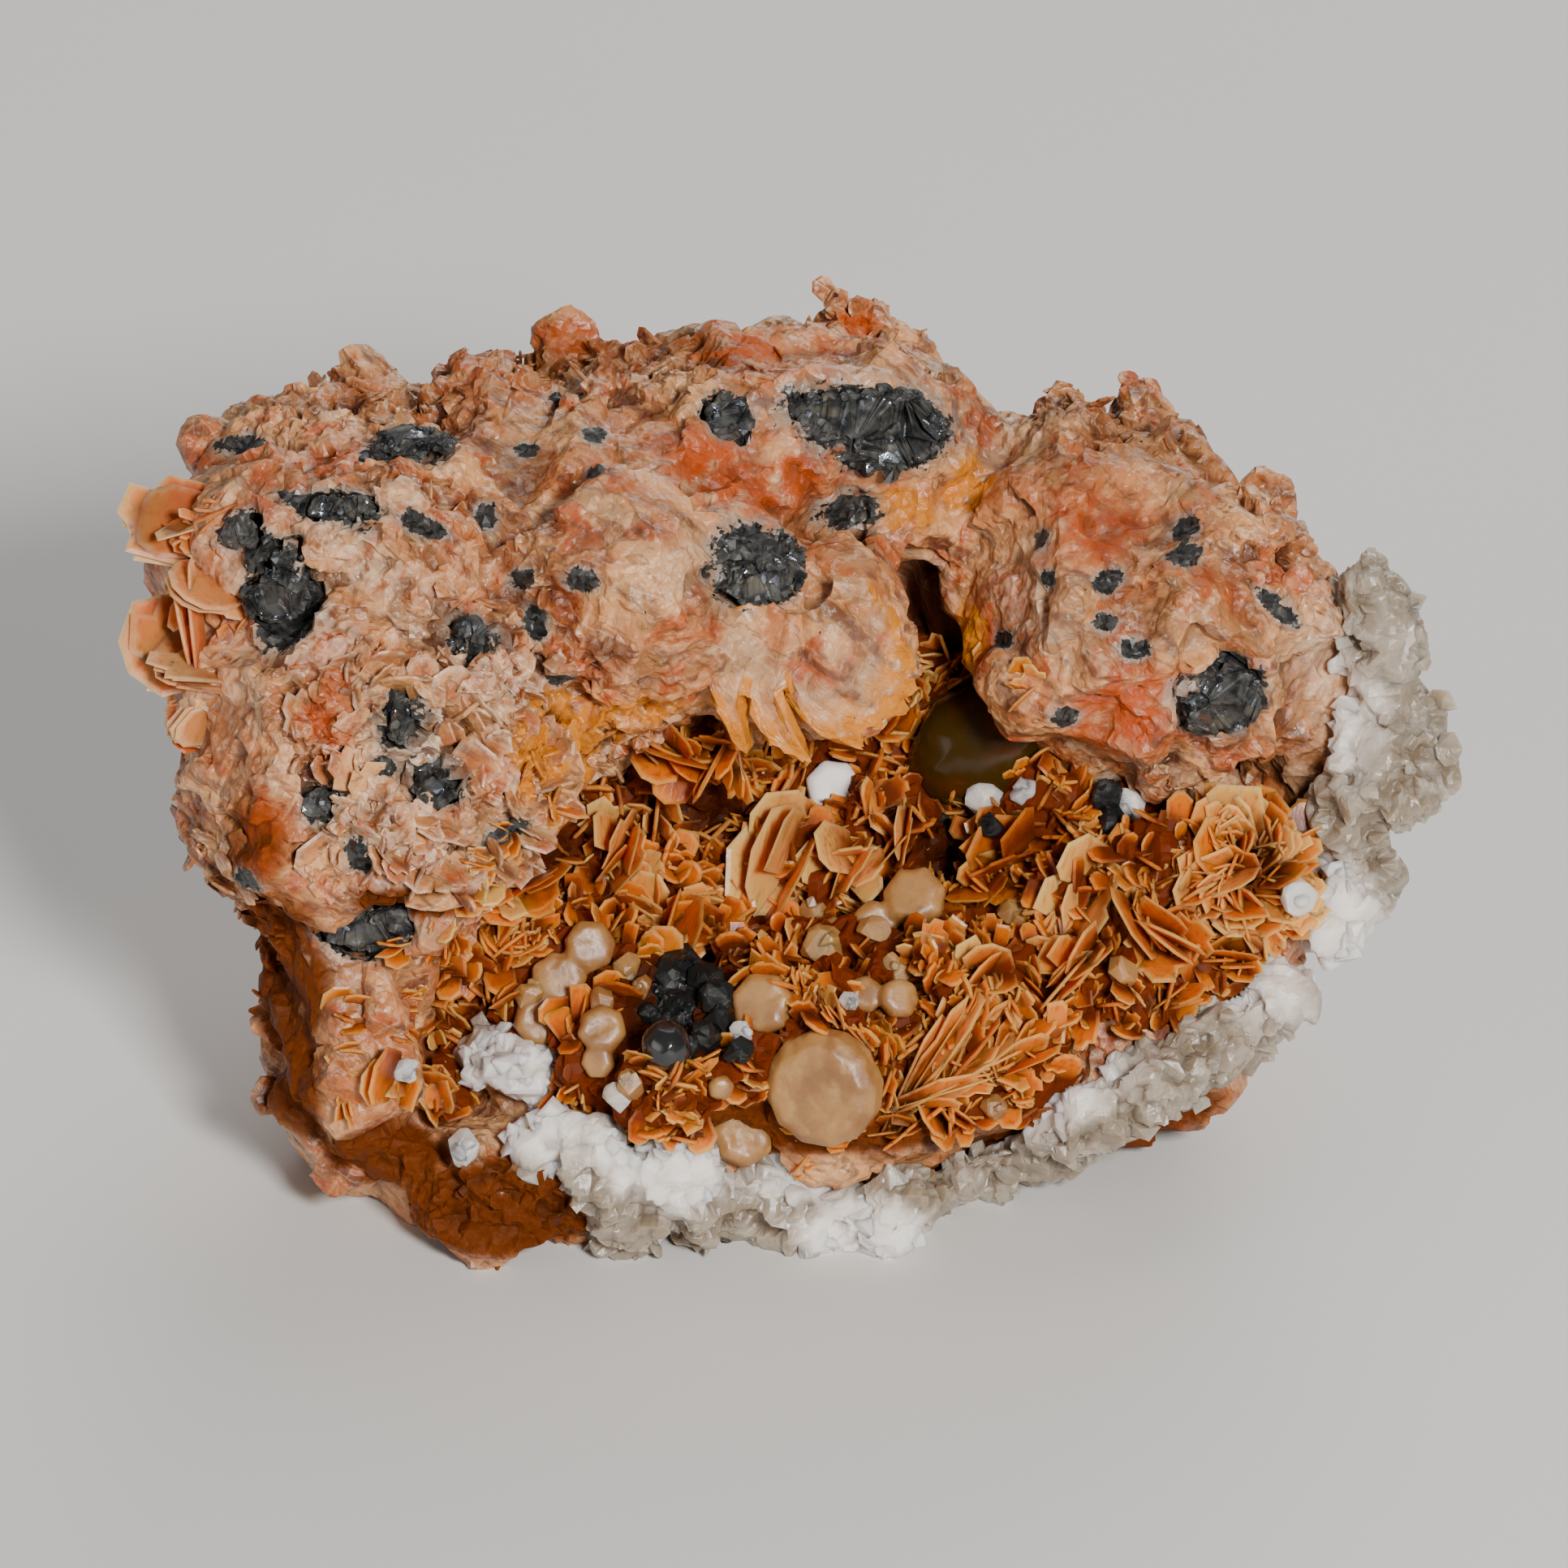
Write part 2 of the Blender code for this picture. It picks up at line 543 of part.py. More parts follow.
def rosette_blades(bm, extra=0.0):
    """The ball of blades: each stands out from the ball's middle."""
    dice = random.Random(ROSETTE_SEED)
    across, up, out, reach = ROSETTE
    for _ in range(ROSETTE_BLADES):
        stand = Vector((dice.gauss(0, 1), dice.gauss(0, 1), dice.gauss(*ROSETTE_FACING)))
        broad = Vector([dice.gauss(0, 1) for _ in range(3)])
        add_plate(bm, face(across, up, out), face_way(stand), face_way(broad),
                  reach * dice.uniform(*ROSETTE_LENGTHS), reach * dice.uniform(*ROSETTE_WIDTHS),
                  dice.uniform(*PAGE_THICKNESS), extra)


def rosette_heart(bm, extra=0.0):
    across, up, out, reach = ROSETTE
    heart = reach * ROSETTE_HEART + extra
    add_ball(bm, face(across, up, out), (heart, heart, heart), UPRIGHT, 2)


def build_rosette(name, collection, helpers, extra=0.0):
    bm = bmesh.new()
    rosette_heart(bm, extra)
    rosette = make_object(name, bm, collection)
    bm = bmesh.new()
    rosette_blades(bm, extra)
    combine(rosette, make_object("pages", bm, helpers), "UNION", tangled=True)
    return rosette


def build_sugar(name, path, tree, collection, seed):
    """A crust of small white crystals: a bed along the path, broken into small facets."""
    bm = bmesh.new()
    lumps = list(path)
    for before, after in zip(path, path[1:]):
        if math.dist(before[:2], after[:2]) < LUMP_LINK:
            lumps.append([(one + other) / 2 for one, other in zip(before, after)])
    for across, up, reach in lumps:
        place = face(across, up, depth_at(tree, across, up) + LUMP_RISE)
        add_ball(bm, place, (reach, reach, reach * LUMP_DEPTH), FACE_TURN)
    crust = make_object(name, bm, collection)
    fuse_round(crust, SUGAR_VOXEL)
    cleave(crust.data, SUGAR_SIZE, SUGAR_DEPTH, seed)
    thin_out(crust, SUGAR_THINNING)
    return crust


def build_vug_crust(tree, collection, helpers):
    """The blades that line the hollow, with the thin bed that they grow from."""
    bm = bmesh.new()
    for across, up, reach in VUG_PATCHES:
        steps = int(reach / BED_SPACING) + 1
        for i in range(-steps, steps + 1):
            for j in range(-steps, steps + 1):
                step = Vector((i + 0.5 * (j % 2), j, 0)) * BED_SPACING
                if step.length < reach:
                    spot = seat(tree, across + step.x, up + step.y)
                    add_ball(bm, spot, (BED_SPACING, BED_SPACING, BED_DEPTH), FACE_TURN, 2)
    crust = make_object("vug_barite_crust", bm, collection)
    fuse_round(crust, BED_VOXEL)
    thin_out(crust, BED_THINNING)
    dice = random.Random(VUG_SEED)
    bm = bmesh.new()
    for across, up, *fan in VUG_FANS.values():
        add_fan(bm, seat(tree, across, up), *fan, dice)
    combine(crust, make_object("pages", bm, helpers), "UNION", tangled=True)
    return crust


def build_crystals(name, tree, collection, helpers, extra=0.0):
    """One stout cerussite crystal, or several grown together, sunk into what lies behind."""
    dice = random.Random(name)
    cluster = CERUSSITE[name]
    out = sum(depth_at(tree, across, up) for across, up, *_ in cluster) / len(cluster)
    whole = None
    for across, up, radius, thickness, degrees in cluster:
        angle = math.radians(degrees)
        lean = face_way((dice.gauss(0, CRYSTAL_LEAN), dice.gauss(CRYSTAL_UPTURN, CRYSTAL_LEAN), 1))
        along = face_way((math.cos(angle), math.sin(angle), 0))
        sit = square_to(along - lean * along.dot(lean), lean)
        bm = bmesh.new()
        sides = LARGE_SIDES if radius > LARGE_CRYSTAL else SMALL_SIDES
        add_tablet(bm, face(across, up, out), sit, radius, thickness, sides, extra)
        crystal = make_object("crystal", bm, helpers)
        if whole:
            combine(whole, crystal, "UNION")
        else:
            whole = crystal
    helpers.objects.unlink(whole)
    collection.objects.link(whole)
    whole.name = "cerussite_" + name if collection != helpers else "socket"
    return whole


def build_galena(name, grain, tree, bm, extra=0.0):
    """A grain of galena lying along the rock's surface, so that little of it stands proud."""
    across, up, half_width, half_height, degrees = grain
    angle = math.radians(degrees)
    lean = slope_at(tree, across, up)
    along = face_way((math.cos(angle), math.sin(angle), 0))
    turn = square_to(along - lean * along.dot(lean), lean)
    spot = seat(tree, across, up) - lean * GRAIN_SUNK * MM
    add_grain(bm, spot, turn, (half_width, half_height, GRAIN_DEPTH), random.Random(name), extra)


def flat_foot(obj, helpers):
    """Cuts away what reaches below the flat that the specimen rests on."""
    bm = bmesh.new()
    bmesh.ops.create_cube(bm, size=2 * FAR * MM, matrix=Matrix.Translation((0, 0, -FAR * MM)))
    combine(obj, make_object("below_foot", bm, helpers), "DIFFERENCE")


def finish(obj, material):
    keep_largest(obj)
    obj.data.materials.clear()
    obj.data.materials.append(material)


def main():
    clear_scene()
    specimen = make_collection("barite_with_cerussite")
    helpers = make_collection("cutters")
    materials = make_materials()

    rock = build_rock(specimen)
    bm = bmesh.new()
    crest_blades(bm)
    combine(rock, make_object("crests", bm, helpers), "UNION", tangled=True)
    flat_foot(rock, helpers)
    keep_largest(rock)

    rock_skin = surface_of(rock)
    rim = build_sugar("cerussite_rim_crust", RIM_PATH, rock_skin, specimen, RIM_SEED)
    flat_foot(rim, helpers)
    edge = build_sugar("cerussite_edge_crust", EDGE_PATH, rock_skin, specimen, EDGE_SEED)
    tuft = build_sugar("cerussite_tuft", TUFT_PATH, rock_skin, specimen, TUFT_SEED)
    rosette = build_rosette("barite_rosette", specimen, helpers)
    vug = build_vug_crust(rock_skin, specimen, helpers)
    fan = build_left_fan(specimen, helpers)

    hollow_skin = surface_of(rock, rim, tuft, vug)
    grains = {name: (grain, rock_skin) for name, grain in GALENA.items()}
    grains["pit"] = (GALENA_PIT, hollow_skin)
    sockets = []
    for name, (grain, skin) in grains.items():
        bm = bmesh.new()
        build_galena(name, grain, skin, bm)
        finish(make_object("galena_" + name, bm, specimen), materials["galena"])
        bm = bmesh.new()
        build_galena(name, grain, skin, bm, GAP)
        sockets.append(make_object("socket", bm, helpers))
    for name in CERUSSITE:
        crystals = build_crystals(name, hollow_skin, specimen, helpers)
        slot = "cerussite_white" if name in WHITE_CRYSTALS else "cerussite_honey"
        finish(crystals, materials[slot])
        sockets.append(build_crystals(name, hollow_skin, helpers, helpers, GAP))

    sugar = (rim, edge, tuft)
    sockets = gathered("sockets", sockets, helpers)
    wall = grown(rock, helpers)
    grown_sugar = [grown(crust, helpers) for crust in sugar]
    grown_rosette = build_rosette("rosette_socket", helpers, helpers, GAP)
    for piece in (*sugar, fan):
        cut_away(piece, [wall, sockets], helpers)
    cut_away(rosette, [wall, *grown_sugar, sockets], helpers)
    cut_away(vug, [wall, *grown_sugar, grown_rosette, sockets], helpers)
    cut_away(rock, [sockets], helpers)

    finish(rock, materials["barite_matrix"])
    for piece in sugar:
        finish(piece, materials["cerussite_white"])
    for piece in (rosette, vug, fan):
        finish(piece, materials["barite_blades"])
    for cutter in list(helpers.objects):
        bpy.data.objects.remove(cutter)


main()
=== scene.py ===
"""Looks of the barite with cerussite: the finish of every surface, the finer crystals and the stage.

The display face leans back, so places on it are given in millimetres across, up and out of it,
as in the part's source. Everything built here is in metres, upright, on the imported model.
"""

import json
import math
import random

import bmesh
import bpy
import numpy as np
from mathutils import Matrix, Vector, noise
from mathutils.bvhtree import BVHTree
from mathutils.kdtree import KDTree

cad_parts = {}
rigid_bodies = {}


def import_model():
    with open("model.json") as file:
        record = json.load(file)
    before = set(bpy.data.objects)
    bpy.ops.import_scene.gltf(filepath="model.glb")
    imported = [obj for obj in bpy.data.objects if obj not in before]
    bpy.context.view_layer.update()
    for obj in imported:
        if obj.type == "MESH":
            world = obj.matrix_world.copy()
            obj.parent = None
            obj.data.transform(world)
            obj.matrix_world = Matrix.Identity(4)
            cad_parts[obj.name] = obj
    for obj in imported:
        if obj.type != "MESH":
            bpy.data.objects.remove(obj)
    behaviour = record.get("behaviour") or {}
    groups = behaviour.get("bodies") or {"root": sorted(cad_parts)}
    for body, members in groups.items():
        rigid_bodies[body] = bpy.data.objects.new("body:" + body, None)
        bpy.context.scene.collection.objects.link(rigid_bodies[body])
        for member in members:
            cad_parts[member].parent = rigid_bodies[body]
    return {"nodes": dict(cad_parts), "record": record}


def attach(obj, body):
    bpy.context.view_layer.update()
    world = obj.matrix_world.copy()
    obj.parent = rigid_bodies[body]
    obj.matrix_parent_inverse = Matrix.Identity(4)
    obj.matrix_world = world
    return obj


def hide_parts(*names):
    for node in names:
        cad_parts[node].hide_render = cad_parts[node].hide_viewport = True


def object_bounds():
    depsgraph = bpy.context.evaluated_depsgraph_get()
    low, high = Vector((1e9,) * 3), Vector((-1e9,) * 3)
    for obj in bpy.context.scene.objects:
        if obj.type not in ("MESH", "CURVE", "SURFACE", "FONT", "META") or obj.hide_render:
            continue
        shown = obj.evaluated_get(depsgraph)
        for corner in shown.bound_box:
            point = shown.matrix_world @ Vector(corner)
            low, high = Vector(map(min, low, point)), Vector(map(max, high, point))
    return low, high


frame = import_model()

bl_info = {
    "name": "Barite with cerussite",
    "version": (1, 0, 0),
    "blender": (4, 5, 0),
    "location": "3D View > Sidebar > Specimen",
    "description": "Dresses the packed specimen of barite with cerussite and galena",
    "category": "Object",
}

CAD_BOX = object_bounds()
MM = 0.001
# The display face leans back, and its middle is this many millimetres over the floor.
LEAN = math.radians(28)
LIFT = 21.0
FACE_TURN = Matrix.Rotation(math.pi / 2 - LEAN, 3, "X")
# Millimetres: how far in front of the face a line of sight starts, what counts as no distance,
# how far a piece may stand out of the part's box, how far to each side a slope is read, and how
# far behind a blade it hides what lies there.
FAR = 60.0
TINY = 0.01
SPARE = 0.4
SLOPE_STEP = 1.2
HIDDEN_DEPTH = 7.0
# The camera's distance from the specimen and the width that its picture spans there, in metres.
CAMERA_DISTANCE = 0.9
PHOTO_SPAN = 0.08246
# The lights: name, place in metres, size, power in watts and tint. Then the light from all round.
LIGHTS = [
    ("key", (0.24, -0.78, 0.50), 0.16, 12.5, (1.0, 0.98, 0.95)),
    ("fill", (-0.6, -0.45, 0.25), 0.4, 1.0, (1.0, 0.98, 0.96)),
    ("top", (0.05, 0.3, 0.6), 0.5, 1.0, (0.97, 0.98, 1.0)),
    ("back", (0.25, 0.8, 0.4), 0.5, 3.5, (1.0, 0.98, 0.95)),
]
SKY = (0.9, 0.9, 0.92, 1)
SKY_STRENGTH = 0.09
# How strongly each mineral bends light, and how far red, green and blue light spread in it.
BARITE_BENDS = 1.64
CERUSSITE_BENDS = 1.9
ROCK_GLOW = (1.0, 0.4, 0.15)
DEEP_GLOW = (1.0, 0.4, 0.1)
BLADE_GLOW = (1.0, 0.38, 0.1)
WHITE_GLOW = (1.0, 0.8, 0.6)
HONEY_GLOW = (1.0, 0.65, 0.35)
# A facet's height is already in metres, so its bump counts whole metres.
FACET_DEPTH = 1000.0
# Grids of the skins, in millimetres, and the triangles that the massive barite may keep.
ROCK_GRID = 0.3
BED_GRID = 0.4
WHITE_GRID = 0.3
STOUT_GRID = 0.12
GALENA_GRID = 0.14
ROCK_TRIANGLES = 190000
# Thinnest and thickest page of a book and sheet of the left end, in millimetres, and how far
# apart the sheets lie.
PAGE_THICKNESS = (0.09, 0.2)
SHEET_THICKNESS = (0.12, 0.24)
SHEET_GAP = 0.32
# Millimetres between the small books of a patch, and numbers of the other crystals.
PATCH_STEP = 2.2
ROSETTE_BOOKS = 34
LEFT_END_BOOKS = 48
PETALS = 170
# Outlines count in the order of their names. A page takes one of the first four, and the other
# blades take one of these.
PAGE_KINDS = 4
LARGE_KINDS = (0, 2, 4)
PETAL_KINDS = (0, 0, 1, 2)
# A loose flake's length, width and thickness against a blade shape one unit long, and the size of
# the white grains' shapes.
FLAKE_SHARES = (1, 0.8, 0.11, 1)
GRAIN_SIZE = (0.5, 0.5, 0.42)

# Books of blades in the hollow: across, up; the way they face; the spine they share; spread in
# degrees, number of blades, blade length and width, and how pale and pink they are, kept low as
# painted shade for the books in shadow.
BOOKS = {
    "left_books": (-17.6, -9.4, (0.2, 0.3, 1.0), (0.9, -0.3, 0.1), 50, 10, 5.0, 4.4, 0.1),
    "left_foot_books": (-20.2, -15.4, (-0.1, -0.2, 1.0), (0.3, 1.0, 0.1), 55, 9, 4.4, 4.0, 0.45),
    "under_knob": (-13.6, -5.0, (0.3, -0.2, 1.0), (1.0, 0.2, 0.0), 50, 8, 5.4, 5.0, 0.2),
    "left_curtain": (-8.6, -4.0, (0.3, 0.5, 1.0), (0.4, 1.0, 0.1), 45, 9, 6.6, 5.2, 0.75),
    "left_curtain_foot": (-6.4, -8.2, (0.5, 0.1, 1.0), (0.6, 1.0, 0.1), 45, 8, 5.4, 4.4, 0.6),
    "roof_shadow": (-5.6, 1.6, (0.1, -0.5, 1.0), (1.0, -0.5, 0.1), 50, 8, 5.2, 4.4, 0.05),
    "roof_sticks": (-3.0, 2.0, (0.2, -0.7, 0.8), (0.8, 0.2, 0.6), 40, 9, 5.4, 2.0, 0.15),
    "pink_curl": (0.6, -3.6, (-0.5, 0.1, 1.0), (0.1, 1.0, 0.1), 30, 6, 6.4, 7.4, 1.0),
    "pink_curl_middle": (3.6, -4.0, (0.1, 0.1, 1.0), (0.6, 0.8, 0.1), 65, 9, 5.6, 4.8, 0.9),
    "pink_curl_right": (6.4, -2.6, (0.6, 0.3, 1.0), (0.5, 1.0, 0.0), 35, 6, 6.0, 5.6, 0.9),
    "long_fan": (6.4, -16.8, (0.6, 0.8, 0.45), (-0.4, -0.1, 1.0), 36, 18, 9.6, 3.6, 0.55),
    "long_fan_middle": (8.4, -15.6, (0.7, 0.8, 0.6), (-0.2, -0.3, 1.0), 40, 14, 7.0, 3.4, 0.6),
    "long_fan_right": (11.6, -15.0, (0.3, 0.8, 0.7), (-0.3, -0.2, 1.0), 42, 10, 5.4, 3.4, 0.4),
    "long_fan_left": (4.0, -13.6, (-0.4, 0.6, 0.9), (0.3, 0.2, 1.0), 45, 9, 5.4, 3.6, 0.5),
    "disc_left": (-1.6, -14.6, (0.3, 0.6, 0.8), (0.6, -0.5, 0.5), 40, 9, 4.6, 2.4, 0.2),
    "disc_right": (6.0, -18.2, (0.2, 0.5, 0.9), (0.9, 0.2, 0.3), 45, 8, 4.2, 3.0, 0.3),
    "pit_left": (-9.0, -12.4, (0.2, 0.3, 1.0), (0.8, 0.5, 0.2), 50, 8, 4.2, 3.0, 0.5),
    "pit_top": (-4.6, -7.6, (0.0, 0.2, 1.0), (1.0, 0.2, 0.2), 50, 9, 4.8, 3.4, 0.3),
    "dark_hollow": (11.6, -4.6, (0.3, 0.3, 1.0), (1.0, 0.6, 0.1), 60, 9, 6.0, 5.2, 0.1),
    "right_books": (16.2, -5.6, (0.2, 0.3, 1.0), (0.4, 1.0, 0.2), 55, 10, 6.2, 5.4, 1.0),
    "rosette_foot": (20.0, -8.0, (-0.2, -0.2, 1.0), (0.8, -0.5, 0.1), 50, 9, 5.8, 5.0, 0.5),
    "floor_sticks": (-5.8, -16.4, (0.6, 0.6, 0.7), (-0.4, 0.4, 0.6), 34, 10, 6.4, 1.5, 0.0),
    "left_gravel": (-11.8, -11.6, (0.0, 0.3, 1.0), (1.0, 0.3, 0.0), 55, 8, 4.2, 3.6, 0.5),
    "right_floor": (15.4, -9.6, (0.2, 0.4, 1.0), (0.7, 0.7, 0.1), 50, 9, 5.4, 4.6, 0.7),
}
# Where smaller books fill the hollow: across, up and reach of each patch.
BOOK_PATCHES = [
    (-15.6, -9.1, 4.5), (-19.9, -13.8, 4.0), (-11.4, -5.6, 5.0), (-4.5, -2.2, 5.5),
    (3.2, -4.0, 5.5), (-10.5, -12.1, 4.5), (-4.5, -10.8, 5.0), (2.7, -11.7, 5.0),
    (10.0, -13.0, 5.0), (12.1, -5.7, 6.0), (18.5, -6.6, 5.5), (8.7, 2.8, 4.5), (0.0, -16.0, 5.0),
    (-10.0, -16.0, 4.5), (8.0, -9.6, 4.5), (-1.0, -8.0, 4.5),
]
# Gaps that no blade covers, the pit's mouth first, with painted shade on the bed: across, up and radius.
SHADED_GAPS = [(-5.3, -11.6, 2.7), (8.9, -3.6, 1.5), (-3.7, -1.0, 1.2), (-12.4, -3.6, 1.0)]
# The ball of blades at the right end of the hollow: across, up, out and radius.
ROSETTE = (24.2, -4.6, -1.0, 5.6)
# Large blades at the left end: across, up, out; the way the blade stands; the way its broad
# face looks; length and width; how many sheets lie on each other.
LEFT_BLADES = [
    (-30.1, 13.5, 9.0, (-1.0, 0.1, 0.1), (-0.2, 0.3, 1.0), 5.9, 4.9, 3),
    (-30.2, 5.6, 12.0, (-0.1, 1.0, 0.2), (1.0, 0.2, 0.3), 7.8, 2.6, 2),
    (-30.1, 7.5, 10.0, (-1.0, -0.1, 0.2), (-0.3, 0.3, 1.0), 5.5, 6.0, 3),
    (-28.4, 5.8, 12.0, (-1.0, 0.1, 0.3), (0.1, 1.0, 0.4), 6.2, 4.4, 4),
    (-28.0, 3.7, 11.0, (-1.0, -0.2, 0.3), (0.2, -0.6, 1.0), 6.0, 3.4, 3),
    (-29.0, 10.6, 11.5, (-0.7, -0.2, 0.8), (0.6, 1.0, 0.2), 4.8, 4.4, 3),
]
# The room for the left end's small books, from and to: across, up and out.
LEFT_END = ((-30.6, -26.8), (2.4, 14.4), (8.6, 11.6))
# The wavy lip over the hollow: its hinge (across, up, out), its edge with two slots, as degrees
# from straight down and millimetres from the hinge, and how its tongues swing to the right: from
# which millimetre, and by how many degrees for each one further.
LIP_HINGE = (0.8, 10.7, 11.6)
LIP_EDGE = [
    (-64, 3.4), (-54, 4.6), (-47, 5.4), (-44, 8.0), (-39, 9.1), (-34, 9.3), (-32.5, 8.6), (-31, 6.7),
    (-26, 6.7), (-24.5, 8.6), (-20, 9.3), (-15, 9.5), (-12.5, 8.6), (-11, 5.8), (-4, 5.8), (-2, 8.8),
    (1, 9.4), (5, 9.0), (9, 8.3), (13, 8.8), (18, 8.1), (23, 8.8), (29, 7.9), (34, 8.2), (40, 7.4),
    (46, 7.3), (54, 6.5), (62, 5.9), (73, 4.5), (86, 3.2),
]
LIP_SWING = (6.0, 5.5)
# Where its sheet starts, in millimetres from the hinge, its thickness and its grid.
LIP_ROOT = 1.8
LIP_THICKNESS = 0.8
LIP_COLUMNS = 200
LIP_ROWS = 26
# The pieces that small crystals sit on, and their places: across, up and radius.
SEATS = ("massive_barite", "hollow_blades", "hollow_bed", "ball_blades", "smoky_crystal")
HONEY_BEADS = [
    (-8.2, -9.6, 0.9), (-13.3, -11.1, 1.1), (-9.4, -11.4, 1.0), (1.5, -6.6, 0.8), (17.7, -9.8, 1.0),
    (2.1, -8.6, 1.3), (4.7, -7.8, 1.0), (6.0, -9.9, 0.9),
    (12.1, -7.0, 1.1), (-8.0, -15.6, 0.9), (11.0, -16.9, 0.8), (-7.4, -10.6, 0.7), (5.6, -9.4, 0.7),
]
WHITE_BEADS = [
    (-9.9, -14.2, 0.8), (-16.7, -19.0, 1.1), (18.1, -1.0, 1.2), (10.6, -0.8, 1.1), (12.8, -0.4, 1.0),
    (-8.6, -16.3, 0.9), (-19.7, -14.9, 0.8), (3.4, -11.3, 0.6), (-2.2, -12.9, 0.7), (27.0, -5.9, 1.1),
]
PIT_GRAINS = [
    (-6.2, -10.2, 1.2), (-4.6, -11.4, 1.4), (-3.5, -11.2, 1.1), (-6.1, -12.2, 1.2), (-4.2, -13.3, 1.1),
    (-5.2, -13.9, 0.9), (-7.1, -12.1, 0.9), (-5.2, -10.6, 1.2),
    (-5.4, -9.5, 1.3), (-4.0, -10.4, 1.3), (-6.6, -11.2, 1.2), (-3.4, -12.4, 1.1), (-2.4, -13.8, 0.9),
    (-5.0, -12.6, 1.3), (8.4, -1.6, 0.9), (10.9, -2.2, 0.8), (17.0, -0.6, 1.0), (17.4, -2.0, 0.9),
    (9.4, -2.4, 0.8),
]
PIT_BALL = (-6.1, -13.6, 1.4)
# How white the small crystals are, and the stout ones, from 0 to 1.
BEAD_SNOW = 0.38
STOUT_SNOW = 0.6
# The large crystal in the shadow between the lobes, painted near black as shade: across, up, out
# and its half sizes.
SHADOWED_CRYSTAL = (10.9, 2.0, -6.4, (4.6, 3.6, 2.8))

# The left knob, whose petals open round its middle: across, up and radius.
KNOB = (-18.4, 0.2, 7.2)
# The way in which the rock's streaks run on the display face.
GRAIN_WAY = (0.82, -0.57, 0.0)

# Places on the barite that are rusty, yellow, lead grey, brown (in part painted shade), painted dark
# as shade, crumbly, snowy or pale: across, up, half width, half height, turn in degrees and strength.
RUST_SPOTS = [
    (-2.2, 16.0, 4.6, 2.6, 0, 0.9), (-22.5, 16.9, 3.0, 1.4, 0, 0.6), (-10.0, 5.4, 2.0, 2.0, 0, 0.5),
    (-2.0, 22.9, 4.0, 1.2, 0, 0.6), (-11.4, 23.7, 3.0, 1.0, 0, 0.5), (16.4, 13.5, 3.2, 2.0, 0, 0.7),
    (18.1, 3.7, 3.6, 2.6, 30, 0.75), (3.6, 24.2, 1.6, 0.9, 0, 0.8), (25.8, 11.4, 2.6, 2.0, 0, 0.5),
    (-27.0, -2.0, 2.0, 4.0, 0, 0.4), (-20.0, -4.4, 3.0, 1.0, 0, 0.4), (10.4, 8.0, 1.0, 3.0, 0, 0.8),
    (-24.0, 4.4, 3.0, 2.4, 0, 0.5), (-6.0, 8.0, 3.0, 1.2, 0, 0.45), (-16.0, 10.8, 3.0, 1.0, -30, 0.4),
]
OCHRE_SPOTS = [
    (-11.8, 1.5, 3.0, 3.4, 20, 1.0), (9.8, 7.4, 1.0, 2.0, 0, 1.0), (9.6, 15.8, 1.2, 1.6, 0, 1.0),
    (11.1, 15.8, 0.7, 0.7, 0, 0.8), (-8.0, 3.8, 3.0, 1.2, 10, 0.6), (0.0, 4.4, 3.4, 1.4, 0, 0.5),
    (6.2, 14.4, 2.0, 1.2, 0, 0.7),
]
LEAD_SPOTS = [
    (4.6, 18.9, 4.6, 2.2, -6, 0.8), (3.2, 14.4, 2.0, 1.2, 0, 0.7), (-1.5, 11.9, 2.4, 1.8, 0, 0.9),
    (-28.4, 17.8, 1.8, 0.6, 0, 0.8), (-24.6, 14.6, 1.8, 0.4, -15, 1.0), (-14.4, -2.6, 1.6, 0.5, 35, 1.0),
    (-15.4, 13.9, 0.7, 0.7, 0, 1.0), (-13.7, 10.5, 0.8, 0.6, 30, 1.0), (-10.5, 10.5, 0.9, 0.7, 0, 1.0),
    (-12.9, 8.4, 0.6, 1.0, 20, 1.0), (-11.6, 5.6, 0.8, 0.5, 0, 1.0), (-11.4, 20.3, 1.0, 0.6, 0, 1.0),
    (-13.5, 17.5, 0.7, 0.5, 0, 1.0), (-9.7, 16.1, 0.6, 0.5, 0, 1.0), (-9.9, 18.2, 0.7, 0.5, 0, 1.0),
    (13.2, 12.9, 0.7, 0.7, 0, 1.0), (13.8, 10.7, 0.6, 0.5, 0, 1.0), (16.8, 10.5, 1.0, 0.6, 30, 1.0),
    (20.9, 13.4, 0.8, 0.7, 0, 1.0), (20.9, 12.0, 0.9, 0.7, 0, 1.0), (25.8, 9.2, 1.4, 0.5, -40, 1.0),
    (18.3, 7.1, 0.8, 0.6, 0, 1.0), (16.8, 8.4, 0.7, 0.5, 0, 1.0), (11.3, 7.5, 0.8, 0.6, 0, 1.0),
    (14.7, 3.5, 0.8, 0.5, 0, 1.0), (-27.6, -4.9, 1.0, 0.7, 0, 0.8), (-29.1, -5.9, 0.8, 0.8, 0, 0.9),
    (-14.3, -2.7, 1.0, 0.8, 40, 0.9), (-20.7, 0.9, 0.8, 0.5, 0, 1.0), (-21.8, -3.6, 0.8, 1.0, 0, 1.0),
    (-18.8, 13.4, 1.4, 0.5, -20, 1.0), (-24.0, 14.2, 1.8, 0.6, -15, 1.0), (-14.8, -5.3, 1.0, 0.5, 0, 0.8),
    (-27.2, 12.0, 1.2, 1.2, 0, 1.0), (-25.6, 8.4, 1.6, 1.8, -30, 1.0), (17.0, -0.7, 1.0, 1.6, 0, 0.8),
]
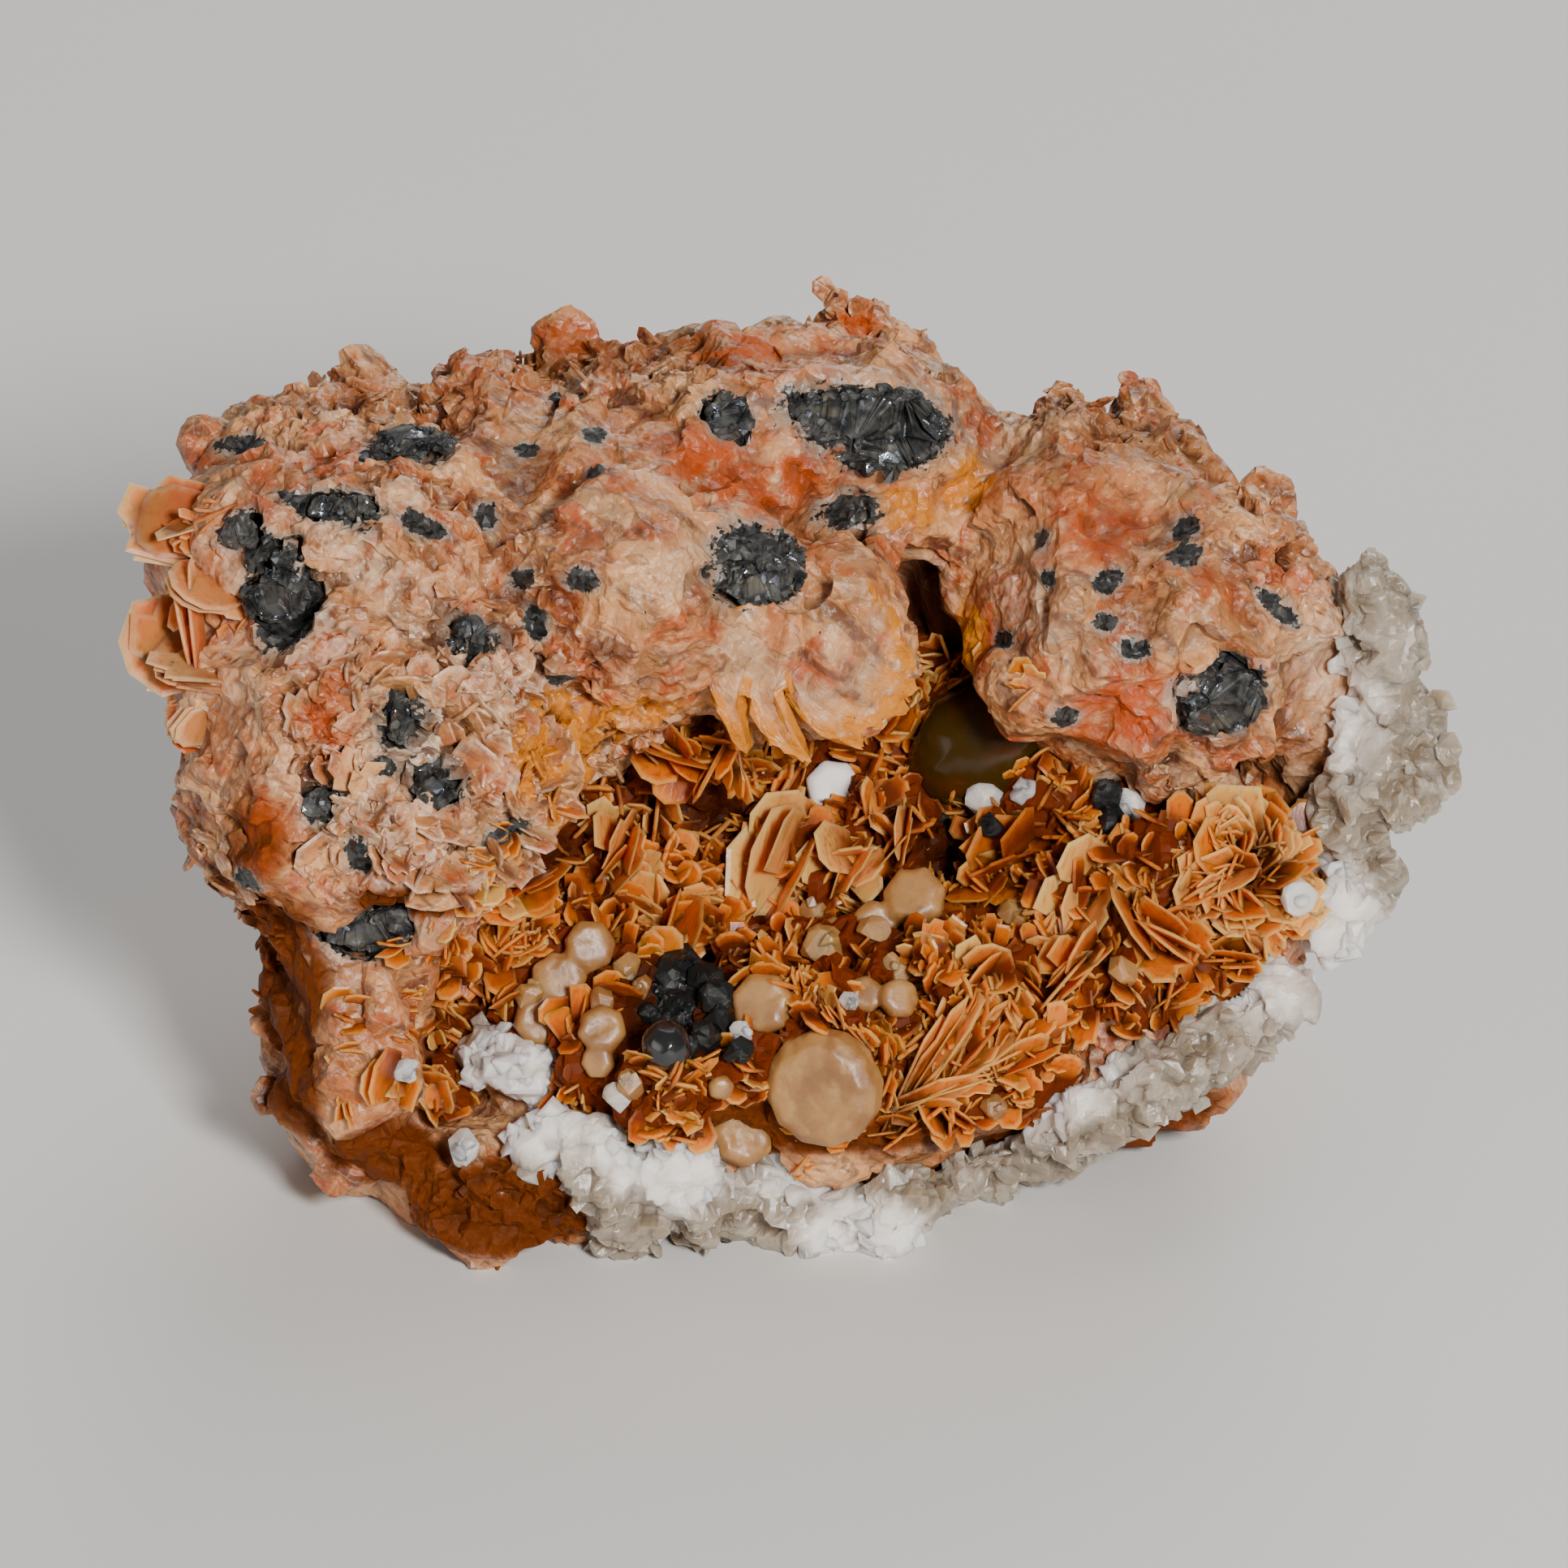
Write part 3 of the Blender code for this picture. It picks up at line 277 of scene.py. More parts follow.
# The rock's own orange-brown along the foot, and painted shade where the rock falls away from the light:
# on the left wall, by the slot and along the top edge.
AMBER_AND_SHADE_SPOTS = [
    (-14.8, -22.2, 5.0, 2.2, 0, 1.0), (15.5, -18.8, 7.0, 1.6, 15, 1.0), (-25.6, -15.6, 2.5, 3.0, 0, 0.7),
    (-21.0, -19.5, 3.0, 2.0, 0, 0.8), (-27.5, -3.0, 2.0, 3.0, 0, 0.5), (8.0, 6.0, 2.0, 3.0, 0, 0.9),
    (-26.0, -9.0, 2.4, 5.0, 0, 0.8), (23.5, -12.8, 3.0, 1.6, 30, 0.7), (-19.0, -6.0, 4.0, 1.0, 0, 0.6),
    (0.0, -18.0, 9.0, 1.2, 0, 0.9), (-12.0, 1.4, 1.6, 2.6, 20, 0.3), (-8.0, 22.4, 9.0, 1.6, 0, 0.3),
    (-22.0, 20.4, 6.0, 1.4, 0, 0.25), (18.0, 18.6, 7.0, 2.4, -20, 0.28), (27.0, 13.0, 3.0, 3.0, 0, 0.25),
]
# Painted shade: the slot between the lobes, under the roof of the hollow, pits and the left wall.
SHADE_SPOTS = [
    (-26.3, -11.0, 1.6, 3.4, 0, 0.55), (-14.6, -23.0, 5.0, 1.6, 0, 0.4),
    (8.0, 8.4, 1.6, 4.6, 0, 1.0), (7.6, 3.4, 2.0, 2.0, 0, 0.9), (-7.0, 1.4, 3.0, 1.0, 15, 0.6),
    (-13.8, -3.0, 1.6, 0.8, 40, 0.6), (10.2, 14.6, 0.8, 1.0, 0, 0.7), (20.9, 13.5, 0.6, 0.5, 0, 1.0),
]
CRUMBLY_SPOTS = [
    (-15.6, 2.8, 5.5, 6.5, 0, 1.0), (-22.9, 2.8, 4.0, 5.0, 0, 0.8), (-20.7, -3.6, 4.0, 3.0, 0, 1.0),
    (-19.9, 13.9, 6.0, 3.0, 0, 0.4), (-28.9, -5.7, 3.0, 6.0, 0, 0.6), (-8.5, 2.5, 4.0, 3.0, 0, 0.7),
    (20.0, -0.5, 5.0, 2.0, 0, 0.6), (-12.0, -22.0, 6.0, 3.0, 0, 0.4),
    (-22.0, 19.6, 6.0, 1.8, 0, 0.6), (-9.0, 23.6, 8.0, 1.6, 0, 0.6), (4.0, 24.4, 4.0, 1.4, 0, 0.6),
    (17.0, 19.4, 5.0, 2.0, -15, 0.6), (25.6, 13.0, 2.0, 4.0, 20, 0.6),
]
SNOW_SPOTS = [
    (-14.3, -15.6, 3.0, 2.8, 0, 1.0), (-5.8, -20.2, 2.6, 2.2, 0, 1.0), (4.2, -23.6, 3.0, 1.8, 0, 0.9),
    (-9.0, -18.6, 1.6, 1.4, 0, 0.5), (28.6, 4.0, 2.4, 3.6, 0, 0.5), (24.5, -11.5, 2.0, 1.6, 0, 0.5),
    (14.0, -15.5, 5.0, 1.6, 20, 0.6), (-16.7, -19.4, 1.8, 1.4, 0, 0.7), (1.0, -18.4, 2.4, 1.0, 0, 0.6),
]
PALE_SPOTS = [
    (-18.6, 2.8, 3.0, 2.8, 0, 1.0), (-18.4, -5.0, 3.2, 2.4, 0, 0.9), (-20.5, -1.0, 3.0, 2.4, 0, 0.5),
    (-14.4, 5.0, 2.4, 2.0, 0, 0.5), (-24.0, 7.4, 2.0, 2.0, 0, 0.5), (-21.0, 11.0, 5.0, 1.0, -30, 0.4),
    (10.8, 15.6, 1.0, 0.8, 0, 0.8), (12.4, 9.5, 2.2, 3.4, 0, 0.4), (-29.0, 8.0, 2.4, 6.0, 0, 0.3),
    (22.0, -1.0, 2.2, 1.4, 0, 0.5), (28.6, 7.0, 2.0, 4.0, 0, 0.6),
]


def face(across, up, out=0.0):
    """The upright point, in metres, of a place on the display face given in millimetres."""
    return (FACE_TURN @ Vector((across, up, out)) + Vector((0, 0, LIFT))) * MM


def face_way(way):
    """The upright direction of one given on the display face."""
    return (FACE_TURN @ Vector(way)).normalized()


def square_to(x_way, z_way):
    """A turn whose x runs along x_way and whose z is as near z_way as that lets it be."""
    x = x_way.normalized()
    z = (z_way - x * z_way.dot(x)).normalized()
    return Matrix((x, z.cross(x), z)).transposed()


def jog(dice, spread=1.0):
    """A random shift."""
    return Vector([dice.gauss(0, spread) for _ in range(3)])


def side_way(dice, way):
    """A random direction square to that one."""
    side = jog(dice)
    return (side - way * side.dot(way)).normalized()


def slot_of(node):
    """The record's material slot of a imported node."""
    for subpart in frame["record"]["subparts"]:
        if subpart["node"] == node:
            return subpart["material_slot"]
    return None


def stout_crystals():
    """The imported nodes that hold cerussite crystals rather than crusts."""
    return [n for n in sorted(frame["nodes"]) if n.startswith("cerussite")
            and not n.endswith(("crust", "tuft"))]


def shown_nodes():
    """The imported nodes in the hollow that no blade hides."""
    return [*stout_crystals(), "cerussite_tuft", "galena_pit"]


def galena_nodes():
    """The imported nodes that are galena."""
    return [node for node in frame["nodes"] if slot_of(node) == "galena"]


class Wire:
    """A node's output that takes sums and products as Python expressions."""

    def __init__(self, bench, socket):
        self.bench = bench
        self.socket = socket

    def _math(self, operation, one, other):
        return self.bench.add("ShaderNodeMath", {"operation": operation}, {0: one, 1: other})

    def __add__(self, other):
        return self._math("ADD", self, other)

    __radd__ = __add__

    def __sub__(self, other):
        return self._math("SUBTRACT", self, other)

    def __rsub__(self, other):
        return self._math("SUBTRACT", other, self)

    def __mul__(self, other):
        return self._math("MULTIPLY", self, other)

    __rmul__ = __mul__

    def rise(self, low, high):
        """0 below low, 1 above high and smooth in between."""
        return self.bench.add(
            "ShaderNodeMapRange", {"interpolation_type": "SMOOTHSTEP"},
            {"Value": self, "From Min": low, "From Max": high})

    def lines(self, width):
        """1 where the value is a half, falling to 0 that far from it: thin curved lines."""
        gap = self - 0.5
        return 1.0 - (gap * gap).rise(0.0, width * width)


class Bench:
    """A node tree under construction."""

    def __init__(self, tree):
        self.tree = tree

    def add(self, kind, settings=None, inputs=None, output=0):
        """Makes a node of that type: its settings first, then its sockets' values or links.
        Returns the output asked for, or nothing where the node has none."""
        node = self.tree.nodes.new(kind)
        for key, value in (settings or {}).items():
            setattr(node, key, value)
        for key, value in (inputs or {}).items():
            if isinstance(value, Wire):
                self.tree.links.new(value.socket, node.inputs[key])
            else:
                node.inputs[key].default_value = value
        return Wire(self, node.outputs[output]) if node.outputs else None


class Finish(Bench):
    """A material under construction, on one Principled shader."""

    def __init__(self, name):
        self.material = bpy.data.materials.new(name)
        self.material.use_nodes = True
        super().__init__(self.material.node_tree)
        self.tree.nodes.clear()
        self.place = self.add("ShaderNodeTexCoord", output="Object")

    def noise(self, size_mm, detail=4, roughness=0.55):
        """Noise whose lumps are about that size."""
        return self.add("ShaderNodeTexNoise", {}, {
            "Vector": self.place, "Scale": 1 / (size_mm * MM), "Detail": detail,
            "Roughness": roughness})

    def cells(self, size_mm):
        """Angular cells about that size, each of a colour of its own."""
        return self.add("ShaderNodeTexVoronoi", {}, {
            "Vector": self.place, "Scale": 1 / (size_mm * MM)}, "Color")

    def cell_shade(self, size_mm):
        """A number between 0 and 1, the same all over a cell."""
        return self.add("ShaderNodeSeparateColor", {}, {0: self.cells(size_mm)})

    def facets(self, size_mm, tilt=0.6):
        """A height that tilts every cell its own way, as small broken faces lie."""
        ways = self.cells(size_mm)
        middle = Wire(self, ways.socket.node.outputs["Position"])
        away = self.add("ShaderNodeVectorMath", {"operation": "SUBTRACT"},
                        {0: self.place, 1: middle})
        way = self.add("ShaderNodeVectorMath", {"operation": "SUBTRACT"},
                       {0: ways, 1: (0.5, 0.5, 0.5)})
        return tilt * self.add("ShaderNodeVectorMath", {"operation": "DOT_PRODUCT"},
                               {0: away, 1: way}, "Value")

    def streaks(self, size_mm, stretch, way, detail=3):
        """Noise drawn out along a way given on the display face."""
        turn = square_to(face_way(way), face_way((0, 0, 1))).to_euler()
        drawn = self.add("ShaderNodeMapping", {"vector_type": "TEXTURE"}, {
            "Vector": self.place, "Rotation": turn, "Scale": (stretch, 1, 1)})
        return self.add("ShaderNodeTexNoise", {}, {
            "Vector": drawn, "Scale": 1 / (size_mm * MM), "Detail": detail})

    def held(self, name):
        """A number that the mesh's points hold."""
        return self.add("ShaderNodeAttribute", {"attribute_name": name}, output="Fac")

    def mix(self, share, one, other):
        """A colour between two. Input 0 is the share, 6 and 7 the colours, output 2 the result."""
        return self.add("ShaderNodeMix", {"data_type": "RGBA"},
                        {0: share, 6: colour(one), 7: colour(other)}, 2)

    def coats(self, base, *coats):
        """Colours laid over the base in turn, each by its share."""
        for share, tone in coats:
            base = self.mix(share, base, tone)
        return base

    def bump(self, height, depth_mm, strength, after=None):
        """Relief of that height times that depth, on top of any earlier one."""
        inputs = {"Strength": strength, "Distance": depth_mm * MM, "Height": height}
        if after:
            inputs["Normal"] = after
        return self.add("ShaderNodeBump", {}, inputs)

    def shade(self, **sockets):
        """The Principled shader. Its socket names are written with underscores."""
        inputs = {key.replace("_", " "): value for key, value in sockets.items()}
        return self.add("ShaderNodeBsdfPrincipled", {}, inputs)

    def close(self, shader):
        """Leads the shader to the material's surface."""
        self.add("ShaderNodeOutputMaterial", {}, {"Surface": shader})
        return self.material


def colour(value):
    """A colour as a socket takes it."""
    return value if isinstance(value, Wire) else (*value, 1)


def rock_finish(tones):
    """Massive barite: peach, tan, salmon and red in patches, with thin streaks and galena."""
    f = Finish("barite_rock")
    fine = f.noise(0.8, 5)
    flake = f.held("flake")
    crumb = f.held("crumb")
    # Painted shade in the slot, under the roof and in pits.
    dark = f.held("dark").rise(0.2, 0.9)
    chalk = f.held("pale") * f.streaks(0.5, 4.0, (0.5, 0.8, 0.2)).rise(0.36, 0.56)
    # Orange-brown of the foot, and painted shade on the left wall and the top edge.
    amber_and_shade = (f.held("amber_and_shade") * 1.6 * f.noise(2.0).rise(0.1, 0.55)).rise(0.1, 0.8)
    rust = (f.held("rust") * 1.5 * f.noise(1.4, 5).rise(0.25, 0.6)).rise(0.1, 1.1) * 0.9
    ochre = (f.held("ochre") * 1.6 * f.noise(0.9).rise(0.2, 0.6)).rise(0.15, 0.9)
    haze = f.held("lead").rise(0.02, 0.45) * f.noise(0.9, 4).rise(0.3, 0.55)
    light = f.streaks(0.8, 5.0, (0.6, 0.8, 0.2), 5).rise(0.54, 0.68)
    white_lines = f.streaks(2.4, 4.0, GRAIN_WAY, 5).lines(0.016)
    base = f.coats(
        tones.rock_salmon,
        (f.noise(5.0, 4, 0.6).rise(0.4, 0.58), tones.rock_peach),
        (f.streaks(2.0, 3.0, GRAIN_WAY, 4).rise(0.5, 0.62) * 0.85, tones.rock_tan),
        (f.streaks(4.5, 2.0, GRAIN_WAY, 4).rise(0.5, 0.66) * 0.6, tones.rock_beige),
        (f.noise(3.2, 5, 0.6).rise(0.53, 0.64) * 0.9, tones.rock_red),
        (f.streaks(1.2, 4.0, GRAIN_WAY, 5).rise(0.53, 0.66) * 0.85, tones.rock_mauve),
        (light * (0.35 + 0.4 * crumb), tones.rock_pale),
        (white_lines * (0.15 + 0.35 * crumb), tones.rock_white),
        (f.streaks(2.6, 3.0, GRAIN_WAY, 5).lines(0.02) * 0.5, tones.rock_mauve),
        (flake.rise(0.6, 1.0) * crumb * 0.6, tones.rock_pale),
        ((1.0 - flake.rise(0.0, 0.35)) * 0.4, tones.rock_red),
        (chalk * 0.85, tones.rock_white),
        (amber_and_shade, tones.amber_and_shade),
        (rust, tones.rust),
        (ochre, tones.ochre),
        # Painted shade in the chips' sunken recesses.
        (f.held("recess_shade").rise(0.0, 0.8) * 0.85, tones.rock_painted_shade),
        (haze * 0.75, tones.rock_grey),
        # The painted shade of the slot, the roof's underside and the pits.
        (dark * 0.95, tones.rock_painted_shade))
    glint = f.cell_shade(0.3).rise(0.8, 0.84) * (0.4 + 0.6 * crumb)
    relief = f.bump(f.facets(0.8) * (0.3 + 0.7 * crumb), FACET_DEPTH, 0.5)
    relief = f.bump(f.facets(0.3, 1.3) * (0.35 + 0.65 * crumb), FACET_DEPTH, 0.6, relief)
    relief = f.bump(f.noise(0.3, 4), 0.09, 0.7, relief)
    barite = f.shade(Base_Color=base, Roughness=0.34 - 0.22 * glint + 0.2 * fine,
                     Normal=relief, IOR=BARITE_BENDS, Specular_IOR_Level=0.42,
                     Subsurface_Weight=0.15, Subsurface_Scale=0.0007, Subsurface_Radius=ROCK_GLOW)
    deep = f.shade(Base_Color=base, Roughness=0.45 + 0.2 * fine, Normal=relief,
                   IOR=BARITE_BENDS, Specular_IOR_Level=0.06, Subsurface_Weight=0.3,
                   Subsurface_Scale=0.001, Subsurface_Radius=DEEP_GLOW)
    shaded = (amber_and_shade + dark + 0.6 * rust).rise(0.2, 0.8)
    barite = f.add("ShaderNodeMixShader", {}, {0: shaded, 1: barite, 2: deep})
    metal = f.mix(f.cell_shade(0.3), tones.galena_dark, tones.galena_light)
    steps = f.bump(f.facets(0.7), FACET_DEPTH, 0.7)
    galena = f.shade(Base_Color=metal, Metallic=0.5, Normal=steps,
                     Roughness=0.35 + 0.35 * f.cell_shade(0.6))
    specks = f.noise(0.5, 2).rise(0.68, 0.76) * f.noise(5.0, 2).rise(0.42, 0.58)
    ragged = (f.noise(0.8, 5, 0.65) - 0.5) + 0.8 * (f.noise(0.3, 3) - 0.5)
    edge = (f.held("lead") + ragged + 0.6 * specks).rise(0.44, 0.5)
    return f.close(f.add("ShaderNodeMixShader", {}, {0: edge, 1: barite, 2: galena}))


def blade_finish(name, dark, deep, warm, pink, tip, gloss=0.14):
    """Thin tabular barite, with painted shade at the root and a painted highlight on the pale rim."""
    f = Finish(name)
    tone = f.held("tone")
    along = f.held("tip")
    rim = f.held("rim")
    body = f.mix(tone.rise(0.35, 1.0), warm, pink)
    patch = f.noise(4.0, 3).rise(0.4, 0.62)
    # Painted shade: darker towards the root, less so for the paler books.
    grown = (along + 0.4 * tone + 0.4 * (patch - 0.5) + 0.5 * (f.noise(1.4, 3) - 0.5)).rise(0.35, 1.1)
    grain = f.streaks(0.3, 6.0, (0.3, 0.9, 0.3), 4)
    # Painted highlight along the rims and towards the tips.
    pale = (0.75 * rim + 0.4 * along + 0.6 * (f.noise(0.7, 4) - 0.5)).rise(0.55, 1.15)
    base = f.coats(f.mix(grown, deep, body),
                   (grain.rise(0.5, 0.7) * 0.45, deep),
                   # The painted rim highlight, strongest on the paler books.
                   (pale * (0.03 + 0.75 * tone + 0.15 * patch), tip),
                   # Painted shade in the gaps between the blades.
                   (f.held("dark") * 0.8, dark))
    relief = f.bump(grain, 0.06, 0.5)
    relief = f.bump(f.noise(0.4, 3), 0.05, 0.3, relief)
    shader = f.shade(Base_Color=base, Roughness=0.45 - 0.3 * along + 0.2 * f.noise(0.8, 3),
                     Normal=relief, IOR=BARITE_BENDS, Specular_IOR_Level=gloss,
                     Subsurface_Weight=0.65, Subsurface_Scale=0.0015,
                     Subsurface_Radius=BLADE_GLOW)
    return f.close(shader)


def white_finish(tones):
    """Beige translucent to snow-white cerussite, with painted shade in its sunken cracks."""
    f = Finish("cerussite_white")
    snow = (f.held("snow") + 0.8 * (f.noise(3.0, 4) - 0.42)).rise(0.1, 0.7)
    base = f.coats(tones.white_beige,
                   (f.noise(2.0, 3).rise(0.4, 0.62), tones.white_grey),
                   (snow, tones.white_snow),
                   # Painted shade in the crust's sunken cracks.
                   (f.held("recess_shade").rise(0.05, 0.9) * (0.9 - 0.5 * snow), tones.white_recess_shade))
    relief = f.bump(f.facets(0.7), FACET_DEPTH, 0.2)
    relief = f.bump(f.noise(0.2, 4), 0.08, 0.6, relief)
    shader = f.shade(Base_Color=base, Roughness=0.2 + 0.3 * f.cell_shade(0.6) + 0.2 * snow,
                     Normal=relief, IOR=CERUSSITE_BENDS, Specular_IOR_Level=0.35,
                     Subsurface_Weight=0.75, Subsurface_Scale=0.002, Subsurface_Radius=WHITE_GLOW)
    return f.close(shader)


def honey_finish(tones):
    """Cloudy, translucent honey-coloured cerussite with a high lustre."""
    f = Finish("cerussite_honey")
    base = f.coats(tones.honey_deep,
                   (f.noise(2.2, 4).rise(0.35, 0.65), tones.honey_pale),
                   (f.noise(0.9, 4).rise(0.55, 0.72) * 0.35, tones.honey_cream))
    relief = f.bump(f.noise(0.25, 4), 0.04, 0.7)
    shader = f.shade(Base_Color=base, Roughness=0.3 + 0.3 * f.noise(0.5, 3), Normal=relief,
                     IOR=CERUSSITE_BENDS, Specular_IOR_Level=0.4, Transmission_Weight=0.1,
                     Subsurface_Weight=0.6, Subsurface_Scale=0.0015,
                     Subsurface_Radius=HONEY_GLOW)
    return f.close(shader)


def smoky_finish(name, dark, light, gloss):
    """Dark crystal, smooth and deep."""
    f = Finish(name)
    base = f.mix(f.noise(3.0, 3).rise(0.5, 0.8) * 0.5, dark, light)
    relief = f.bump(f.noise(0.8, 3), 0.05, 0.3)
    return f.close(f.shade(Base_Color=base, Roughness=0.1 + 0.2 * f.noise(0.7, 3),
                           Normal=relief, IOR=BARITE_BENDS, Specular_IOR_Level=gloss))


def galena_finish(name, dark, light, dusty, shiny):
    """Galena: lead grey, dull where it is tarnished, with bright cleavage faces."""
    f = Finish(name)
    glint = f.cell_shade(0.35).rise(0.86, 0.9)
    base = f.coats(dark,
                   (f.noise(0.9, 4).rise(0.35, 0.65), light),
                   (f.noise(1.6, 4).rise(0.54, 0.7) * 0.6, dusty),
                   (glint * 0.7, shiny))
    relief = f.bump(f.facets(0.8), FACET_DEPTH, 0.7)
    relief = f.bump(f.noise(0.3, 4), 0.06, 0.5, relief)
    shader = f.shade(Base_Color=base, Metallic=0.2 + 0.7 * glint, Normal=relief,
                     Roughness=0.5 - 0.3 * glint, Specular_IOR_Level=0.25)
    return f.close(shader)


def floor_finish():
    """A pale, matt studio floor."""
    f = Finish("studio_floor")
    base = f.mix(f.noise(40.0, 2), (0.73, 0.72, 0.70), (0.75, 0.74, 0.72))
    return f.close(f.shade(Base_Color=base, Roughness=0.7))


def plain_mesh(bm, name):
    """Turns what was built into a mesh of that name."""
    mesh = bpy.data.meshes.new(name)
    bm.to_mesh(mesh)
    bm.free()
    return mesh


def fresh_object(name, mesh):
    """An object of its own in the scene."""
    obj = bpy.data.objects.new(name, mesh)
    bpy.context.scene.collection.objects.link(obj)
    return obj


def settle(obj):
    """Turns an object's live modifiers into a plain mesh."""
    graph = bpy.context.evaluated_depsgraph_get()
    mesh = bpy.data.meshes.new_from_object(obj.evaluated_get(graph))
    obj.modifiers.clear()
    obj.data = mesh


def skin_of(name, node, voxel_mm):
    """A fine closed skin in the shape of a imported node, on an object of its own."""
    bm = bmesh.new()
    bm.from_mesh(frame["nodes"][node].data)
    bmesh.ops.remove_doubles(bm, verts=bm.verts, dist=0.001 * MM)
    obj = fresh_object(name, plain_mesh(bm, name))
    fuse = obj.modifiers.new("Fuse", "REMESH")
    fuse.mode = "VOXEL"
    fuse.voxel_size = voxel_mm * MM
    settle(obj)
    return obj


def read_points(mesh):
    """The places of the mesh's points and the ways they face."""
    points = np.empty(len(mesh.vertices) * 3)
    normals = np.empty(len(mesh.vertices) * 3)
    mesh.vertices.foreach_get("co", points)
    mesh.vertex_normals.foreach_get("vector", normals)
    return points.reshape(-1, 3), normals.reshape(-1, 3)


def write_points(mesh, points):
    """Puts the mesh's points in new places."""
    mesh.vertices.foreach_set("co", points.astype(np.float32).ravel())
    mesh.update()


def store(mesh, name, values):
    """Keeps one number for each point of the mesh."""
    layer = mesh.attributes.new(name, "FLOAT", "POINT")
    layer.data.foreach_set("value", np.asarray(values, np.float32))


def held(mesh, name):
    """The numbers that the mesh's points hold under that name."""
    values = np.empty(len(mesh.vertices), np.float32)
    mesh.attributes[name].data.foreach_get("value", values)
    return values


def push_in(mesh, depths):
    """Moves every point inwards by its depth in metres."""
    points, normals = read_points(mesh)
    write_points(mesh, points - normals * depths[:, None])


def nearest_chip(points, chips):
    """For every point, the number of the chip whose middle is nearest."""
    tree = KDTree(len(chips))
    for index, chip in enumerate(chips):
        tree.insert(chip, index)
    tree.balance()
    return np.array([tree.find(point)[1] for point in points])


def chip_away(mesh, size_mm, depth_mm, seed, lean):
    """Breaks the skin into flat chips of that size, whose faces lean at random. Returns how far
    each point moved, from -1 to 1, and a random number that a whole chip shares."""
    points, normals = read_points(mesh)
    dice = np.random.default_rng(seed)
    area = sum(p.area for p in mesh.polygons)
    count = int(area / (size_mm * MM) ** 2)
    picks = dice.choice(len(points), count, replace=False)
    chips = points[picks]
    ways = normals[picks] + dice.normal(0, lean, (count, 3))
    ways /= np.linalg.norm(ways, axis=1)[:, None]
    depth = np.full(len(points), MM) * depth_mm
    origins = chips + ways * dice.uniform(-0.45, 0.45, (count, 1)) * depth[picks, None]
    own = nearest_chip(points, chips)
    reach = np.einsum("ij,ij->i", origins[own] - points, ways[own])
    facing = np.maximum(0.4, np.einsum("ij,ij->i", normals, ways[own]))
    step = np.clip(reach / facing, -depth, depth)
    write_points(mesh, points + normals * step[:, None])
    return step / depth, dice.uniform(0, 1, count)[own]


def thin_to(obj, triangles):
    """Spends fewer triangles where the chips are flat."""
    have = sum(len(p.vertices) - 2 for p in obj.data.polygons)
    if have > triangles:
        thin = obj.modifiers.new("Thin", "DECIMATE")
        thin.ratio = triangles / have
        settle(obj)


def tree_of(*meshes):
    """Finds rays' hits and nearest places on the meshes."""
    bm = bmesh.new()
    for mesh in meshes:
        bm.from_mesh(mesh)
    tree = BVHTree.FromBMesh(bm)
    bm.free()
    return tree


def skin_tree(*nodes):
    """Finds rays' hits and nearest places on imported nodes."""
    return tree_of(*(frame["nodes"][node].data for node in nodes))


def seat(tree, across, up):
    """Where the view onto the display face meets the surface, or the place nearest to it."""
    point = tree.ray_cast(face(across, up, FAR), face_way((0, 0, -1)))[0]
    if point is None:
        point = tree.find_nearest(face(across, up))[0]
    return point


def slope(tree, across, up):
    """The way the surface looks round a place."""
    east, west = (seat(tree, across + s, up) for s in (SLOPE_STEP, -SLOPE_STEP))
    north, south = (seat(tree, across, up + s) for s in (SLOPE_STEP, -SLOPE_STEP))
    way = (east - west).cross(north - south)
    return way.normalized() if way.length > 0 else face_way((0, 0, 1))


def spotted(points, tree, spots):
    """How strongly the spots colour each point: fully up to half way out, and less from there
    to half as far again beyond their edge."""
    total = np.zeros(len(points))
    upright = np.array(FACE_TURN.transposed())
    for across, up, half_width, half_height, degrees, strength in spots:
        away = (points - np.array(seat(tree, across, up))) @ upright.T / MM
        angle = math.radians(degrees)
        x = away[:, 0] * math.cos(angle) + away[:, 1] * math.sin(angle)
        y = away[:, 1] * math.cos(angle) - away[:, 0] * math.sin(angle)
        far = np.sqrt((x / half_width) ** 2 + (y / half_height) ** 2
                      + (away[:, 2] / max(half_width, half_height) / 1.5) ** 2)
        total = np.maximum(total, strength * np.clip(1.5 - far, 0, 1))
    return total


def keep_inside(mesh):
    """Draws in whatever stands further than SPARE out of the part's box, and nothing below 0."""
    points, _ = read_points(mesh)
    low, high = (np.array(corner) for corner in CAD_BOX)
    low = low - np.array((SPARE, SPARE, 0)) * MM
    write_points(mesh, np.clip(points, low, high + SPARE * MM))


def in_box(crystals):
    """Leaves out the blades whose tip would stand out of the part's box."""
    low, high = (Vector(corner) for corner in CAD_BOX)
    kept = []
    for crystal in crystals:
        place, turn, size = crystal[:3]
        tip = place + turn @ Vector((size.x * 0.8, 0, 0))
        if all(a - SPARE * MM < t < b + SPARE * MM for a, t, b in zip(low, tip, high)):
            kept.append(crystal)
    return kept


def roughen(mesh, depth_mm, size_mm, seed):
    """Moves the skin in and out by lumps of that size, so that its edges run raggedly."""
    points, _ = read_points(mesh)
    lumps = [noise.noise(Vector(point) / (size_mm * MM) + Vector((seed, 0, 0)))
             + 0.6 * noise.noise(Vector(point) / (0.4 * size_mm * MM) + Vector((0, seed, 0)))
             for point in points]
    push_in(mesh, np.array(lumps) * depth_mm * MM)


